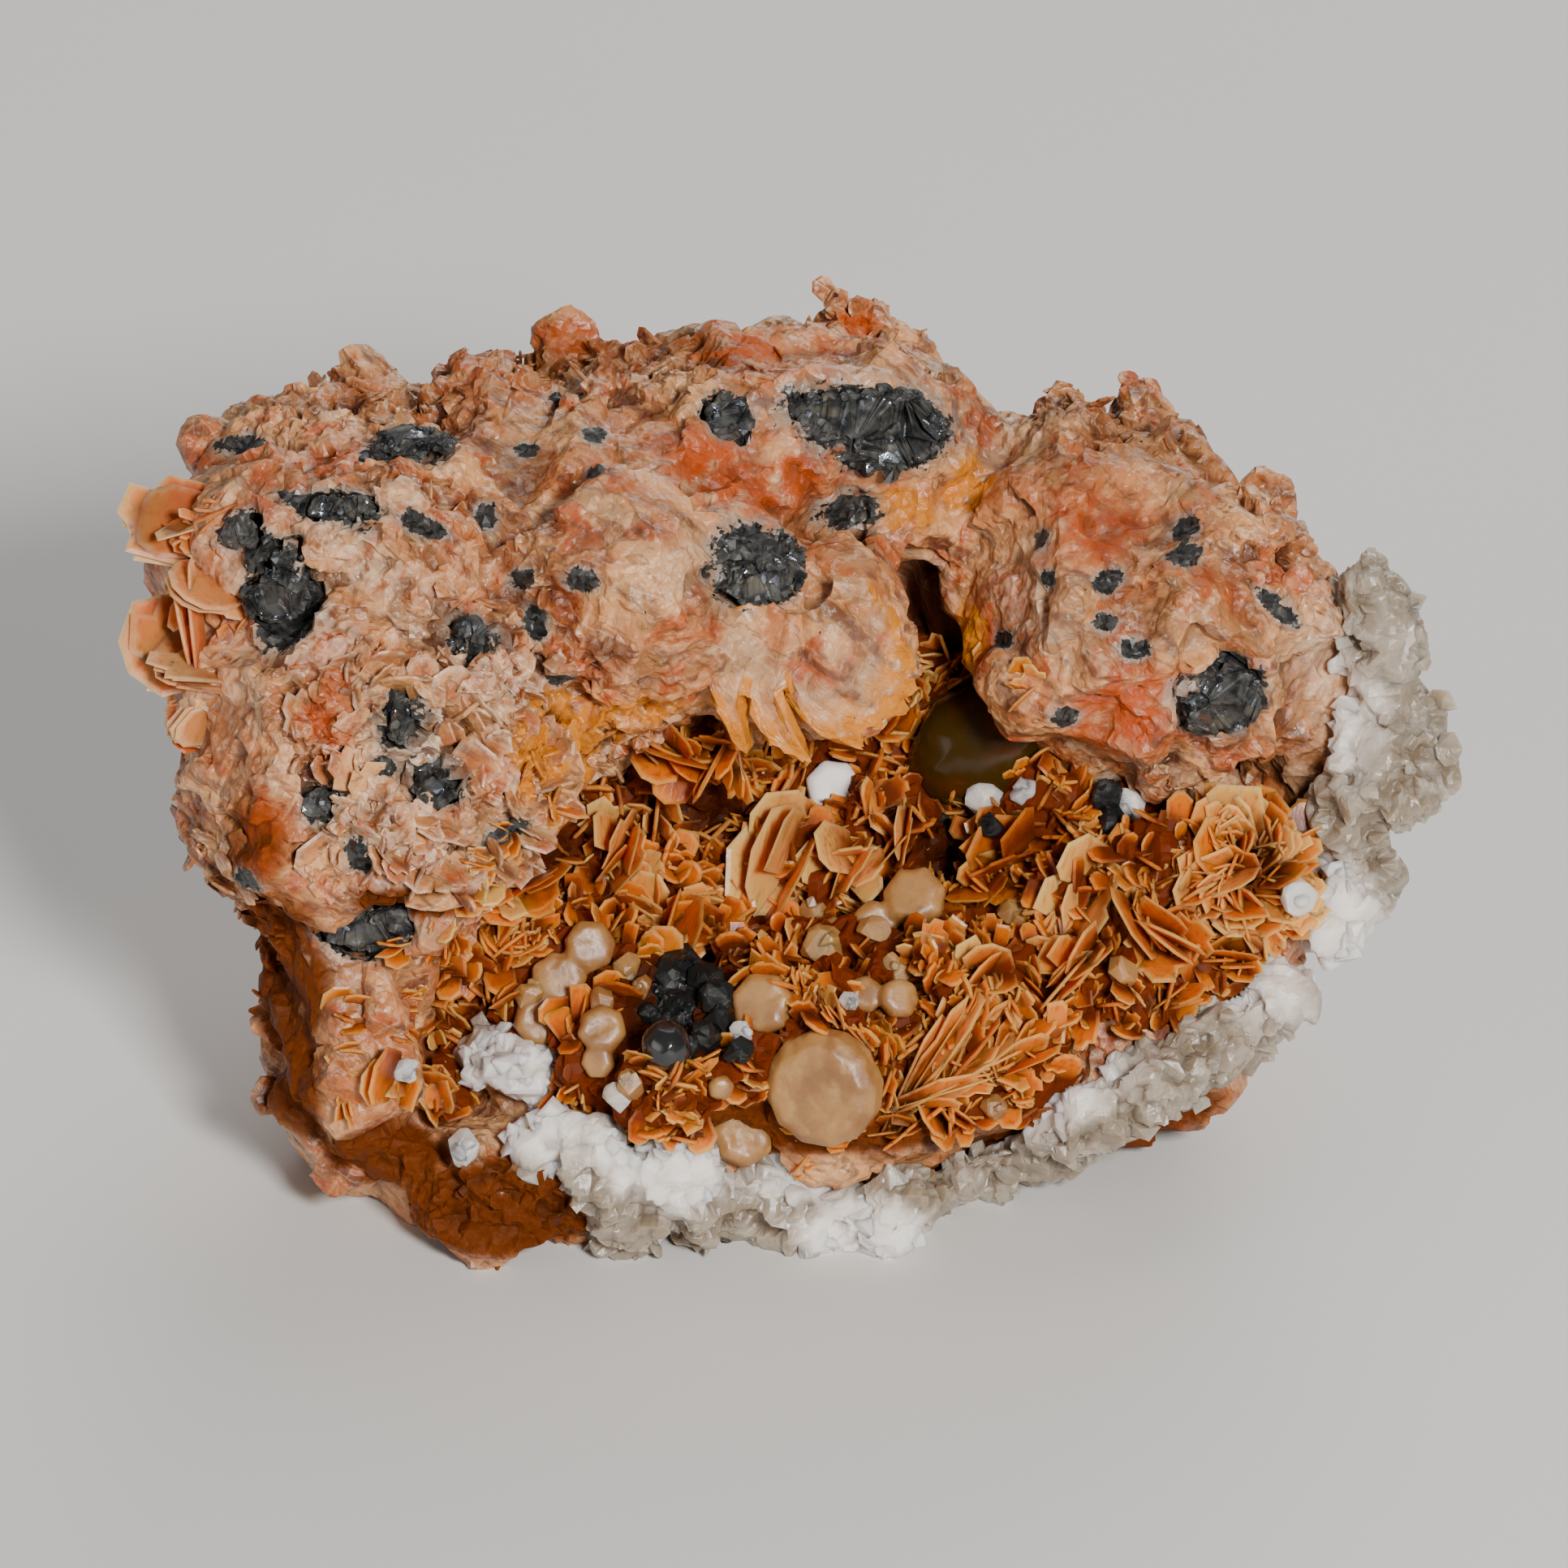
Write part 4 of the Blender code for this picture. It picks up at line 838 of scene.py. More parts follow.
def lay_on(mesh, tree, proud_mm):
    """Draws in whatever stands further than that out of the rock."""
    points, _ = read_points(mesh)
    proud = proud_mm * MM
    for index, point in enumerate(points):
        near, way, _, far = tree.find_nearest(Vector(point))
        if far > proud and (Vector(point) - near).dot(way) > 0:
            points[index] = near + (Vector(point) - near) * (proud / far)
    write_points(mesh, points)


def near_nodes(points, nodes, reach_mm):
    """How near each point is to any of the nodes: 1 on them, 0 at that reach and beyond."""
    tree = skin_tree(*nodes)
    reach = reach_mm * MM
    far = [tree.find_nearest(Vector(point), reach)[3] for point in points]
    return np.array([0.0 if d is None else 1.0 - d / reach for d in far])


def dress(obj, material, node_names):
    """Gives a finished piece its material and its place in the part."""
    keep_inside(obj.data)
    obj.data.materials.clear()
    obj.data.materials.append(material)
    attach(obj, "root")
    if node_names:
        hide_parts(*node_names)


def blade_shape(name, outline, bevel):
    """A thin crystal one unit long, wide and thick, its root at the origin and its rim bevelled.
    Its points hold how near the tip and how near the rim they are."""
    bm = bmesh.new()
    centre = Vector((0.32, 0, 0))
    rings = []
    for height, share in ((0.5, 0.6), (0.5, 1 - bevel), (0, 1), (-0.5, 1 - bevel), (-0.5, 0.6)):
        rings.append([bm.verts.new(centre + (Vector((x, y, 0)) - centre) * share
                                   + Vector((0, 0, height))) for x, y in outline])
    for upper, lower in zip(rings, rings[1:]):
        for i, corner in enumerate(upper):
            before = i - 1
            bm.faces.new((upper[before], corner, lower[i], lower[before]))
    bm.faces.new(rings[0])
    bm.faces.new(rings[-1])
    bmesh.ops.recalc_face_normals(bm, faces=bm.faces)
    mesh = plain_mesh(bm, name)
    store(mesh, "tip", [max(0.0, min(1.0, (v.co.x + 0.18))) for v in mesh.vertices])
    store(mesh, "rim", np.repeat([0.0, 0.8, 1.0, 0.8, 0.0], len(outline)))
    return bpy.data.objects.new(name, mesh)


def blade_outlines():
    """Outlines of the blades: a long hexagon, a chisel, a broken sheet, a lath and a lens."""
    return {
        "hexagon": [(-0.18, -0.25), (0.1, -0.5), (0.62, -0.46), (0.82, -0.1), (0.78, 0.22),
                    (0.5, 0.5), (0.05, 0.45), (-0.18, 0.2)],
        "chisel": [(-0.18, -0.4), (0.55, -0.5), (0.82, -0.18), (0.8, 0.3), (0.6, 0.48), (-0.18, 0.4)],
        "broken": [(-0.18, -0.45), (0.4, -0.5), (0.52, -0.3), (0.74, -0.34), (0.82, 0.02),
                   (0.66, 0.2), (0.7, 0.44), (0.2, 0.5), (-0.18, 0.42)],
        "lath": [(-0.18, -0.3), (0.66, -0.36), (0.82, -0.2), (0.8, 0.32), (-0.18, 0.3)],
        "lens": [(-0.18, -0.2), (0.05, -0.42), (0.35, -0.5), (0.62, -0.4), (0.79, -0.16), (0.82, 0.1),
                 (0.73, 0.34), (0.48, 0.48), (0.18, 0.47), (-0.06, 0.36), (-0.18, 0.15)],
    }


def shape_collection(name, shapes):
    """A collection of shapes outside the scene, for the node trees to set."""
    collection = bpy.data.collections.new(name)
    for shape in shapes:
        collection.objects.link(shape)
    return collection


def open_tree(name, result, inputs):
    """A geometry node group. Returns its bench and a wire for each of its named inputs."""
    tree = bpy.data.node_groups.new(name, "GeometryNodeTree")
    for label, kind in inputs.items():
        tree.interface.new_socket(name=label, in_out="INPUT", socket_type="NodeSocket" + kind)
    tree.interface.new_socket(name=result, in_out="OUTPUT", socket_type="NodeSocketGeometry")
    bench = Bench(tree)
    given = bench.add("NodeGroupInput").socket.node
    return bench, [Wire(bench, given.outputs[label]) for label in inputs]


def named(bench, kind, name):
    """What the points hold under that name."""
    return bench.add("GeometryNodeInputNamedAttribute", {"data_type": kind}, {"Name": name})


def chance(bench, kind, sockets, output):
    """A random value of that kind for every point."""
    return bench.add("FunctionNodeRandomValue", {"data_type": kind}, sockets, output)


def set_crystals(bench, points, crystals, which, turn, size):
    """Sets one crystal of the collection on every point."""
    shapes = bench.add("GeometryNodeCollectionInfo", {}, {
        "Collection": crystals, "Separate Children": True, "Reset Children": True})
    return bench.add("GeometryNodeInstanceOnPoints", {}, {
        "Points": points, "Instance": shapes, "Pick Instance": True, "Instance Index": which,
        "Rotation": turn, "Scale": size})


def close_tree(bench, grown, finish):
    """Ends a group: the crystals become real geometry and take their material."""
    grown = bench.add("GeometryNodeRealizeInstances", {}, {"Geometry": grown})
    grown = bench.add("GeometryNodeSetMaterial", {}, {"Geometry": grown, "Material": finish})
    bench.add("NodeGroupOutput", {}, {0: grown})


def crystal_tree():
    """Geometry nodes that set a crystal on every point, turned and sized as the point says."""
    bench, (points, crystals, finish) = open_tree("set_crystals", "Grown", {
        "Points": "Geometry", "Crystals": "Collection", "Finish": "Material"})
    grown = set_crystals(bench, points, crystals, named(bench, "INT", "kind"),
                         named(bench, "QUATERNION", "turn"), named(bench, "FLOAT_VECTOR", "size"))
    close_tree(bench, grown, finish)


def scatter_tree():
    """Geometry nodes that strew small crystals over a surface, lying nearly flat on it."""
    bench, (surface, crystals, finish, density, smallest, largest, lean, seed) = open_tree(
        "strew_crystals", "Strewn", {
            "Surface": "Geometry", "Crystals": "Collection", "Finish": "Material",
            "Density": "Float", "Smallest": "Float", "Largest": "Float", "Lean": "Float",
            "Seed": "Int"})
    points = bench.add("GeometryNodeDistributePointsOnFaces", {}, {
        "Mesh": surface, "Density": density * named(bench, "FLOAT", "crowd"), "Seed": seed})
    upright = Wire(bench, points.socket.node.outputs["Rotation"])
    low = bench.add("ShaderNodeCombineXYZ", {}, {0: lean * -1.0, 1: lean * -1.0, 2: -math.pi})
    high = bench.add("ShaderNodeCombineXYZ", {}, {0: lean, 1: lean, 2: math.pi})
    tilt = bench.add("FunctionNodeEulerToRotation", {}, {
        0: chance(bench, "FLOAT_VECTOR", {0: low, 1: high, "Seed": seed}, 0)})
    turn = bench.add("FunctionNodeRotateRotation", {"rotation_space": "LOCAL"},
                     {0: upright, 1: tilt})
    size = chance(bench, "FLOAT", {2: smallest, 3: largest, "Seed": seed + 7}, 1)
    # A number past the last shape wraps round to the first ones.
    which = chance(bench, "INT", {4: 0, 5: 20}, 2)
    strewn = set_crystals(bench, points, crystals, which, turn, size)
    strewn = bench.add("GeometryNodeStoreNamedAttribute",
                       {"data_type": "FLOAT", "domain": "INSTANCE"},
                       {"Geometry": strewn, "Name": "tone",
                        "Value": chance(bench, "FLOAT", {2: 0.0, 3: 1.0}, 1)})
    close_tree(bench, strewn, finish)


def run_tree(obj, tree, **given):
    """Runs a geometry tree on the object and leaves the result as its plain mesh."""
    modifier = obj.modifiers.new(tree.name, "NODES")
    modifier.node_group = tree
    for item in tree.interface.items_tree:
        if item.item_type == "SOCKET" and item.in_out == "INPUT" and item.name in given:
            modifier[item.identifier] = given[item.name]
    settle(obj)


def strew(name, bed, shapes, finish, **given):
    """Small crystals of one kind over a copy of the bed, as an object of their own."""
    obj = fresh_object(name, bed.data.copy())
    run_tree(obj, bpy.data.node_groups["strew_crystals"],
             Crystals=bpy.data.collections[shapes], Finish=finish, **given)
    return obj


def grow_crystals(name, crystals, shapes, material):
    """An object with all the crystals given as (place, turn, size, tone, kind)."""
    places, turns, sizes, tones, kinds = zip(*crystals)
    mesh = bpy.data.meshes.new(name + "_points")
    mesh.vertices.add(len(crystals))
    mesh.vertices.foreach_set("co", np.ravel(places))
    for label, kind, field, values in (
            ("turn", "QUATERNION", "value", [turn.to_quaternion() for turn in turns]),
            ("size", "FLOAT_VECTOR", "vector", sizes), ("kind", "INT", "value", kinds)):
        layer = mesh.attributes.new(label, kind, "POINT")
        layer.data.foreach_set(field, np.ravel(values))
    store(mesh, "tone", tones)
    obj = fresh_object(name, mesh)
    run_tree(obj, bpy.data.node_groups["set_crystals"], Crystals=shapes, Finish=material)
    return obj


def book(root, facing, spine, spread, count, length, width, dice, book_tone=None):
    """Blades opened like the pages of a book, as (place, turn, size, tone, kind)."""
    pages = []
    if book_tone is None:
        book_tone = dice.uniform(0.0, 0.7)
    facing = (facing - spine * facing.dot(spine)).normalized()
    for page in range(count):
        share = page / max(1, count - 1) - 0.5 + dice.gauss(0, 0.07)
        angle = math.radians(spread) * share * 2
        lie = Matrix.Rotation(angle, 3, spine) @ facing
        lie += jog(dice, 0.16)
        broad = spine.cross(lie) + jog(dice, 0.28)
        size = dice.uniform(0.55, 1.08) * (1 - 0.25 * abs(share) * 2)
        place = root + spine * dice.uniform(-0.25, 0.25) * width * MM
        sizes = Vector((length * size, width * size * dice.uniform(0.7, 1.1),
                        dice.uniform(*PAGE_THICKNESS))) * MM
        tone = min(1.0, max(0.0, book_tone + dice.gauss(0, 0.15)))
        pages.append((place, square_to(lie, broad), sizes, tone, dice.randrange(PAGE_KINDS)))
    return pages


def hollow_books():
    """The named books and the smaller ones between them."""
    tree = skin_tree("vug_barite_crust", "barite_matrix")
    dice = random.Random(31)
    crystals = []
    for across, up, facing, spine, spread, count, length, width, tone in BOOKS.values():
        crystals += book(seat(tree, across, up), face_way(facing), face_way(spine),
                         spread, count, length, width, dice, tone)
    for across, up, reach in BOOK_PATCHES:
        count = int(reach / PATCH_STEP)
        for i in range(-count, count + 1):
            for j in range(-count, count + 1):
                x = (i + dice.uniform(-0.4, 0.4)) * PATCH_STEP
                y = (j + dice.uniform(-0.4, 0.4)) * PATCH_STEP
                if math.hypot(x, y) > reach:
                    continue
                out = slope(tree, across + x, up + y)
                lean = (out + face_way((0, 0, 1))).normalized()
                spine = side_way(dice, lean)
                root = seat(tree, across + x, up + y) - lean * 0.9 * MM
                crystals += book(root, lean, spine, dice.uniform(25, 60), dice.randint(6, 10),
                                 dice.uniform(2.2, 4.2), dice.uniform(1.4, 3.4), dice)
    return outside(unhidden(in_box(crystals), shown_nodes()), open_places())


def on_face(points):
    """Across, up and out, in millimetres, of upright points in metres."""
    return (np.asarray(points) / MM - np.array((0, 0, LIFT))) @ np.array(FACE_TURN)


def open_places():
    """The places in the hollow that no blade covers: across, up and radius."""
    return [*SHADED_GAPS, *HONEY_BEADS, *WHITE_BEADS]


def room_left(points, places, fade_mm):
    """0 for points inside any of the places as the viewer sees them, 1 well outside."""
    spots = on_face(points)
    room = np.ones(len(spots))
    for across, up, radius in places:
        far = np.hypot(spots[:, 0] - across, spots[:, 1] - up) - radius
        room = np.minimum(room, np.clip(far / fade_mm, 0, 1))
    return room


def outside(crystals, places):
    """Leaves out the blades whose middle would stand in one of the places."""
    middles = [place + turn @ Vector((size.x * 0.5, 0, 0)) for place, turn, size, *_ in crystals]
    room = room_left(middles, places, TINY)
    return [crystal for crystal, free in zip(crystals, room) if free > 0]


def unhidden(crystals, nodes):
    """Leaves out the blades that would stand between the viewer and those nodes."""
    tree = skin_tree(*nodes)
    down = face_way((0, 0, -1))
    kept = []
    for crystal in crystals:
        place, turn, size = crystal[:3]
        spots = [place + turn @ Vector((size.x * along, size.y * side, 0))
                 for along in (0.1, 0.4, 0.8) for side in (-0.4, 0.0, 0.4)]
        if all(tree.ray_cast(spot, down, HIDDEN_DEPTH * MM)[0] is None for spot in spots):
            kept.append(crystal)
    return kept


def lip_sheet():
    """The wavy lip: a fan of folds that opens downwards from its hinge to a jagged edge."""
    across, up, out = LIP_HINGE
    angles, reaches = zip(*LIP_EDGE)
    bm = bmesh.new()
    grid = []
    tips = []
    for column in range(LIP_COLUMNS):
        degrees = angles[0] + (angles[-1] - angles[0]) * column / (LIP_COLUMNS - 1)
        reach = float(np.interp(degrees, angles, reaches))
        reach += 0.3 * noise.noise(Vector((degrees * 0.5, 3.0, 0)))
        line = []
        for row in range(LIP_ROWS):
            share = row / (LIP_ROWS - 1)
            r = LIP_ROOT + (reach - LIP_ROOT) * share
            angle = math.radians(degrees + LIP_SWING[1] * max(0.0, r - LIP_SWING[0]))
            a = across + r * math.sin(angle)
            u = up - r * math.cos(angle)
            fold = 0.9 * noise.noise(Vector((degrees * 0.045, r * 0.12, 2.0)))
            frill = 0.7 * share ** 3 * noise.noise(Vector((degrees * 0.12, r * 0.3, 7.0)))
            rough = 0.3 * noise.noise(Vector((a * 1.1, u * 1.1, 5.0)))
            curl = -0.09 * max(0.0, r - 6.5) ** 2 - 0.5 * (1 - share) ** 3
            o = out - 0.37 * r - 0.3 * max(0.0, a - 1.5) + 0.45 + fold + frill + rough + curl
            line.append(bm.verts.new(face(a, u, o)))
            tips.append(share ** 4)
        grid.append(line)
    for left, right in zip(grid, grid[1:]):
        for row in range(LIP_ROWS - 1):
            bm.faces.new((left[row], left[row + 1], right[row + 1], right[row]))
    mesh = plain_mesh(bm, "lip")
    tips = np.array(tips)
    store(mesh, "flake", np.full(len(tips), 0.5))
    store(mesh, "ochre", tips)
    store(mesh, "pale", 0.8 * tips)
    lip = fresh_object("lip", mesh)
    thick = lip.modifiers.new("Thickness", "SOLIDIFY")
    thick.thickness = LIP_THICKNESS * MM
    thick.offset = 0
    settle(lip)
    return lip


def rosette_books():
    """Books that stand out all round the ball at the right end of the hollow."""
    dice = random.Random(47)
    across, up, out, reach = ROSETTE
    middle = face(across, up, out)
    crystals = []
    for _ in range(ROSETTE_BOOKS):
        way = Vector((dice.gauss(0, 1), dice.gauss(0, 1), dice.gauss(0.6, 0.8))).normalized()
        way = FACE_TURN @ way
        spine = side_way(dice, way)
        root = middle + way * reach * 0.35 * MM
        crystals += book(root, way, spine, dice.uniform(20, 40), dice.randint(6, 9),
                         reach * dice.uniform(0.66, 0.8), reach * dice.uniform(0.4, 0.75), dice,
                         dice.uniform(0.25, 0.8))
    return crystals


def left_blades():
    """The large blades at the left end, each a few sheets thick, with small ones between."""
    dice = random.Random(53)
    crystals = []
    for across, up, out, stand, broad, length, width, sheets in LEFT_BLADES:
        root = face(across, up, out)
        way = face_way(broad)
        for sheet in range(sheets):
            shift = way * (sheet - sheets / 2) * SHEET_GAP * MM
            share = dice.uniform(0.82, 1.0)
            turn = square_to(face_way(stand) + jog(dice, 0.05), way + jog(dice, 0.06))
            sizes = Vector((length * share, width * share, dice.uniform(*SHEET_THICKNESS))) * MM
            crystals.append((root + shift, turn, sizes, dice.uniform(0.4, 1.0),
                             dice.choice(LARGE_KINDS)))
    for _ in range(LEFT_END_BOOKS):
        root = face(*(dice.uniform(*span) for span in LEFT_END))
        way = face_way((dice.gauss(-0.8, 0.3), dice.gauss(0, 0.4), dice.gauss(0.5, 0.3)))
        spine = side_way(dice, way)
        crystals += book(root, way, spine, dice.uniform(15, 35), dice.randint(3, 5),
                         dice.uniform(2.4, 3.9), dice.uniform(1.8, 3.2), dice)
    return crystals


def knob_petals():
    """Petals that open round the middle of the left knob and leave its galena bare."""
    dice = random.Random(59)
    tree = skin_tree("barite_matrix")
    middle, height, reach = KNOB
    crystals = []
    for _ in range(PETALS):
        angle = dice.uniform(0, 2 * math.pi)
        far = reach * math.sqrt(dice.uniform(0.05, 1))
        side, high = math.cos(angle), math.sin(angle)
        across, up = middle + far * side, height + far * high
        out = slope(tree, across, up)
        away = face_way((side, high, 0))
        lie = away + out * dice.uniform(0.2, 1.3)
        lie += jog(dice, 0.35)
        broad = out - away * 0.5 + jog(dice, 0.4)
        size = Vector((dice.uniform(1.0, 2.6), dice.uniform(0.8, 3.0), dice.uniform(0.1, 0.25))) * MM
        crystals.append((seat(tree, across, up) - out * 0.35 * MM, square_to(lie, broad), size,
                         dice.uniform(0.0, 1.0), dice.choice(PETAL_KINDS)))
    specks = [(across, up, 0.9) for across, up, *_ in LEAD_SPOTS]
    return outside(unhidden(crystals, galena_nodes()), specks)


def add_grain(bm, middle, size, turn, dice, corners):
    """A blocky crystal with cut corners, as the hull of points on a squashed ball."""
    verts = []
    for _ in range(corners):
        way = jog(dice).normalized()
        verts.append(bm.verts.new(middle + turn @ Vector([a * b for a, b in zip(way, size)])))
    hull = bmesh.ops.convex_hull(bm, input=verts)
    spare = [v for v in hull["geom_interior"] if isinstance(v, bmesh.types.BMVert)]
    bmesh.ops.delete(bm, geom=spare, context="VERTS")


def grain_shape(name, size, seed):
    """A small blocky crystal round the origin, for the white crusts."""
    bm = bmesh.new()
    add_grain(bm, Vector(), size, Matrix.Identity(3), random.Random(seed), 12)
    return bpy.data.objects.new(name, plain_mesh(bm, name))


def soften_edges(obj, width_mm, segments):
    """Rounds the edges of a blocky crystal."""
    bevel = obj.modifiers.new("Bevel", "BEVEL")
    bevel.width = width_mm * MM
    bevel.segments = segments
    settle(obj)


def build_rock():
    """The massive barite, broken into chips, that holds where it is stained and crumbly."""
    rock = skin_of("massive_barite", "barite_matrix", ROCK_GRID)
    mesh = rock.data
    tree = skin_tree("barite_matrix")
    points, _ = read_points(mesh)
    crumbly = np.clip(0.17 + spotted(points, tree, CRUMBLY_SPOTS), 0, 1)
    big, _ = chip_away(mesh, size_mm=3.4, depth_mm=0.3, seed=3, lean=0.3)
    middle, flake = chip_away(mesh, size_mm=1.7, depth_mm=0.4 * crumbly, seed=4, lean=0.4)
    small, grain = chip_away(mesh, size_mm=0.9, depth_mm=0.22 * crumbly, seed=5, lean=0.45)
    points, _ = read_points(mesh)
    halo = near_nodes(points, galena_nodes(), reach_mm=1.2)
    lead = np.maximum(spotted(points, tree, LEAD_SPOTS), 0.7 * halo)
    push_in(mesh, 0.45 * halo * MM)
    store(mesh, "flake", 0.6 * flake + 0.4 * grain)
    store(mesh, "crumb", crumbly)
    # How far the chips sank in, kept for painted shade in the recesses.
    store(mesh, "recess_shade", np.clip(-0.35 * big - crumbly * (0.5 * middle + 0.3 * small), 0, 1))
    # Real stains, and painted shade for the dark spots and part of the amber.
    for name, spots in (("rust", RUST_SPOTS), ("ochre", OCHRE_SPOTS), ("amber_and_shade", AMBER_AND_SHADE_SPOTS),
                        ("dark", SHADE_SPOTS), ("pale", PALE_SPOTS)):
        store(mesh, name, spotted(points, tree, spots))
    store(mesh, "lead", lead)
    store(mesh, "crowd", np.clip(crumbly - 0.3 - 1.4 * lead, 0, 1))
    thin_to(rock, ROCK_TRIANGLES)
    rock.data.shade_flat()
    return rock


def bead_piece(name, places, seed, squat=0.75, lift=0.3, extra=2, corners=26):
    """Blocky crystals that sit on whatever the viewer sees at each place, each with small extra
    ones grown into it. Squat is their height over their width, and lift how far they stand out."""
    tree = tree_of(*(obj.data for obj in bpy.data.objects if obj.name in SEATS))
    dice = random.Random(seed)
    bm = bmesh.new()
    for across, up, radius in places:
        middle = seat(tree, across, up) + face_way((0, 0, 1)) * radius * lift * MM
        for share in [1.0] + [dice.uniform(0.4, 0.65) for _ in range(extra)]:
            own = radius * share * MM
            size = Vector((own, own * dice.uniform(0.75, 1.0), own * squat))
            aside = jog(dice).normalized()
            add_grain(bm, middle + aside * radius * (1 - share) * MM, size,
                      FACE_TURN @ Matrix.Rotation(dice.uniform(0, 3), 3, "Z"), dice, corners)
    mesh = plain_mesh(bm, name)
    store(mesh, "snow", np.full(len(mesh.vertices), BEAD_SNOW))
    obj = fresh_object(name, mesh)
    soften_edges(obj, width_mm=0.06, segments=2)
    return obj


def smoky_crystal():
    """The large crystal in the shadow between the lobes, its near-black colour painted shade."""
    across, up, out, size = SHADOWED_CRYSTAL
    bm = bmesh.new()
    turn = FACE_TURN @ Matrix.Rotation(0.3, 3, "Z") @ Matrix.Rotation(0.25, 3, "X")
    add_grain(bm, face(across, up, out), Vector(size) * MM, turn, random.Random(12), 90)
    obj = fresh_object("smoky_crystal", plain_mesh(bm, "smoky_crystal"))
    soften_edges(obj, width_mm=0.3, segments=3)
    obj.data.shade_smooth()
    return obj


def build_sugar(name, node, seed):
    """A crust of lumps grown together, whiter in some patches than in others."""
    crust = skin_of(name, node, WHITE_GRID)
    big, _ = chip_away(crust.data, size_mm=2.2, depth_mm=0.4, seed=seed, lean=0.4)
    small, _ = chip_away(crust.data, size_mm=1.1, depth_mm=0.16, seed=seed + 1, lean=0.45)
    points, _ = read_points(crust.data)
    patchy = np.array([noise.noise(Vector(point) / (2.5 * MM)) for point in points])
    snow = spotted(points, skin_tree(node), SNOW_SPOTS)
    # How far the lumps sank in, kept for painted shade in the cracks.
    store(crust.data, "recess_shade", np.clip(-0.7 * big - 0.4 * small, 0, 1))
    store(crust.data, "snow", snow)
    store(crust.data, "crowd", np.clip(0.2 + 1.6 * patchy + 0.5 * snow, 0, 1))
    crust.data.shade_flat()
    return crust


class SpecimenTones(bpy.types.PropertyGroup):
    """Colours of the specimen's minerals and stains."""

    def tone(label, note, value):
        return bpy.props.FloatVectorProperty(
            name=label, description=note, subtype="COLOR", size=3, min=0, max=1, default=value)

    rock_salmon: tone("Rock salmon", "Most of the massive barite", (0.42, 0.125, 0.032))
    rock_peach: tone("Rock peach", "Lighter stretches of the massive barite", (0.66, 0.31, 0.12))
    rock_beige: tone("Rock beige", "Broad greyish beige bands", (0.46, 0.29, 0.16))
    rock_tan: tone("Rock tan", "Tan streaks", (0.32, 0.14, 0.045))
    rock_red: tone("Rock red", "Redder patches of the massive barite", (0.40, 0.070, 0.012))
    rock_mauve: tone("Rock mauve", "Dull brown streaks", (0.13, 0.042, 0.018))
    rock_pale: tone("Rock pale", "Pale flakes and streaks", (0.76, 0.44, 0.22))
    rock_white: tone("Rock white", "The whitest flakes", (0.82, 0.62, 0.44))
    rock_grey: tone("Rock grey", "Greyish haze round the galena", (0.30, 0.25, 0.20))
    # Painted shade, laid in the rock's sunken recesses and in its shaded slots and pits.
    rock_painted_shade: tone("Rock crack", "Deep in the cracks", (0.07, 0.016, 0.003))
    rust: tone("Rust", "Iron stains", (0.44, 0.062, 0.005))
    # The foot's orange-brown, also laid as painted shade on the left wall and the top edge.
    amber_and_shade: tone("Amber", "Orange-brown stretches along the foot", (0.13, 0.026, 0.001))
    ochre: tone("Ochre", "Yellow stains along the roof's edge", (0.60, 0.20, 0.010))
    # Painted shade in the hollow's gaps.
    blade_gap_shade: tone("Blade dark", "The darkest gaps of the hollow", (0.022, 0.005, 0.001))
    # Painted shade at the blades' roots and over the hollow's bed, and the blades' darker grain.
    blade_deep: tone("Blade deep", "The roots of the blades", (0.14, 0.020, 0.001))
    blade_warm: tone("Blade warm", "The blades' faces", (0.74, 0.155, 0.004))
    blade_pink: tone("Blade pink", "The pinker blades' faces", (0.97, 0.37, 0.10))
    # Painted highlight on the blades' rims.
    blade_rim_highlight: tone("Blade tip", "The blades' pale rims", (0.98, 0.48, 0.16))
    fan_warm: tone("Fan warm", "The large blades at the left end", (0.68, 0.165, 0.03))
    fan_pink: tone("Fan pink", "Their pinker sheets", (0.84, 0.34, 0.13))
    # Painted highlight on the left end's blade rims.
    fan_rim_highlight: tone("Fan tip", "The cream rims of the left end's blades", (0.92, 0.46, 0.27))
    # Painted shade: the near-black colour of the crystal in the shadow between the lobes.
    crystal_painted_shade: tone("Smoky", "The shadowed crystal between the lobes", (0.036, 0.018, 0.002))
    white_snow: tone("Snow white", "Brightest cerussite", (0.87, 0.80, 0.73))
    white_grey: tone("Grey white", "Duller cerussite", (0.36, 0.30, 0.235))
    white_beige: tone("Beige white", "Translucent cerussite", (0.25, 0.195, 0.135))
    # Painted shade in the white crust's cracks.
    white_recess_shade: tone("White crack", "Cracks in the white crust", (0.20, 0.14, 0.085))
    honey_pale: tone("Honey pale", "Light parts of the honey crystals", (0.45, 0.225, 0.062))
    honey_deep: tone("Honey deep", "Deep parts of the honey crystals", (0.28, 0.118, 0.025))
    honey_cream: tone("Honey cream", "Cloudy parts of the honey crystals", (0.58, 0.37, 0.15))
    galena_dark: tone("Galena dark", "Tarnished galena", (0.013, 0.014, 0.014))
    galena_light: tone("Galena light", "Fresh galena", (0.080, 0.078, 0.073))
    galena_shiny: tone("Galena shiny", "Bright cleavage faces of the galena", (0.34, 0.37, 0.42))
    galena_dusty: tone("Galena dusty", "Dusty galena", (0.15, 0.13, 0.095))


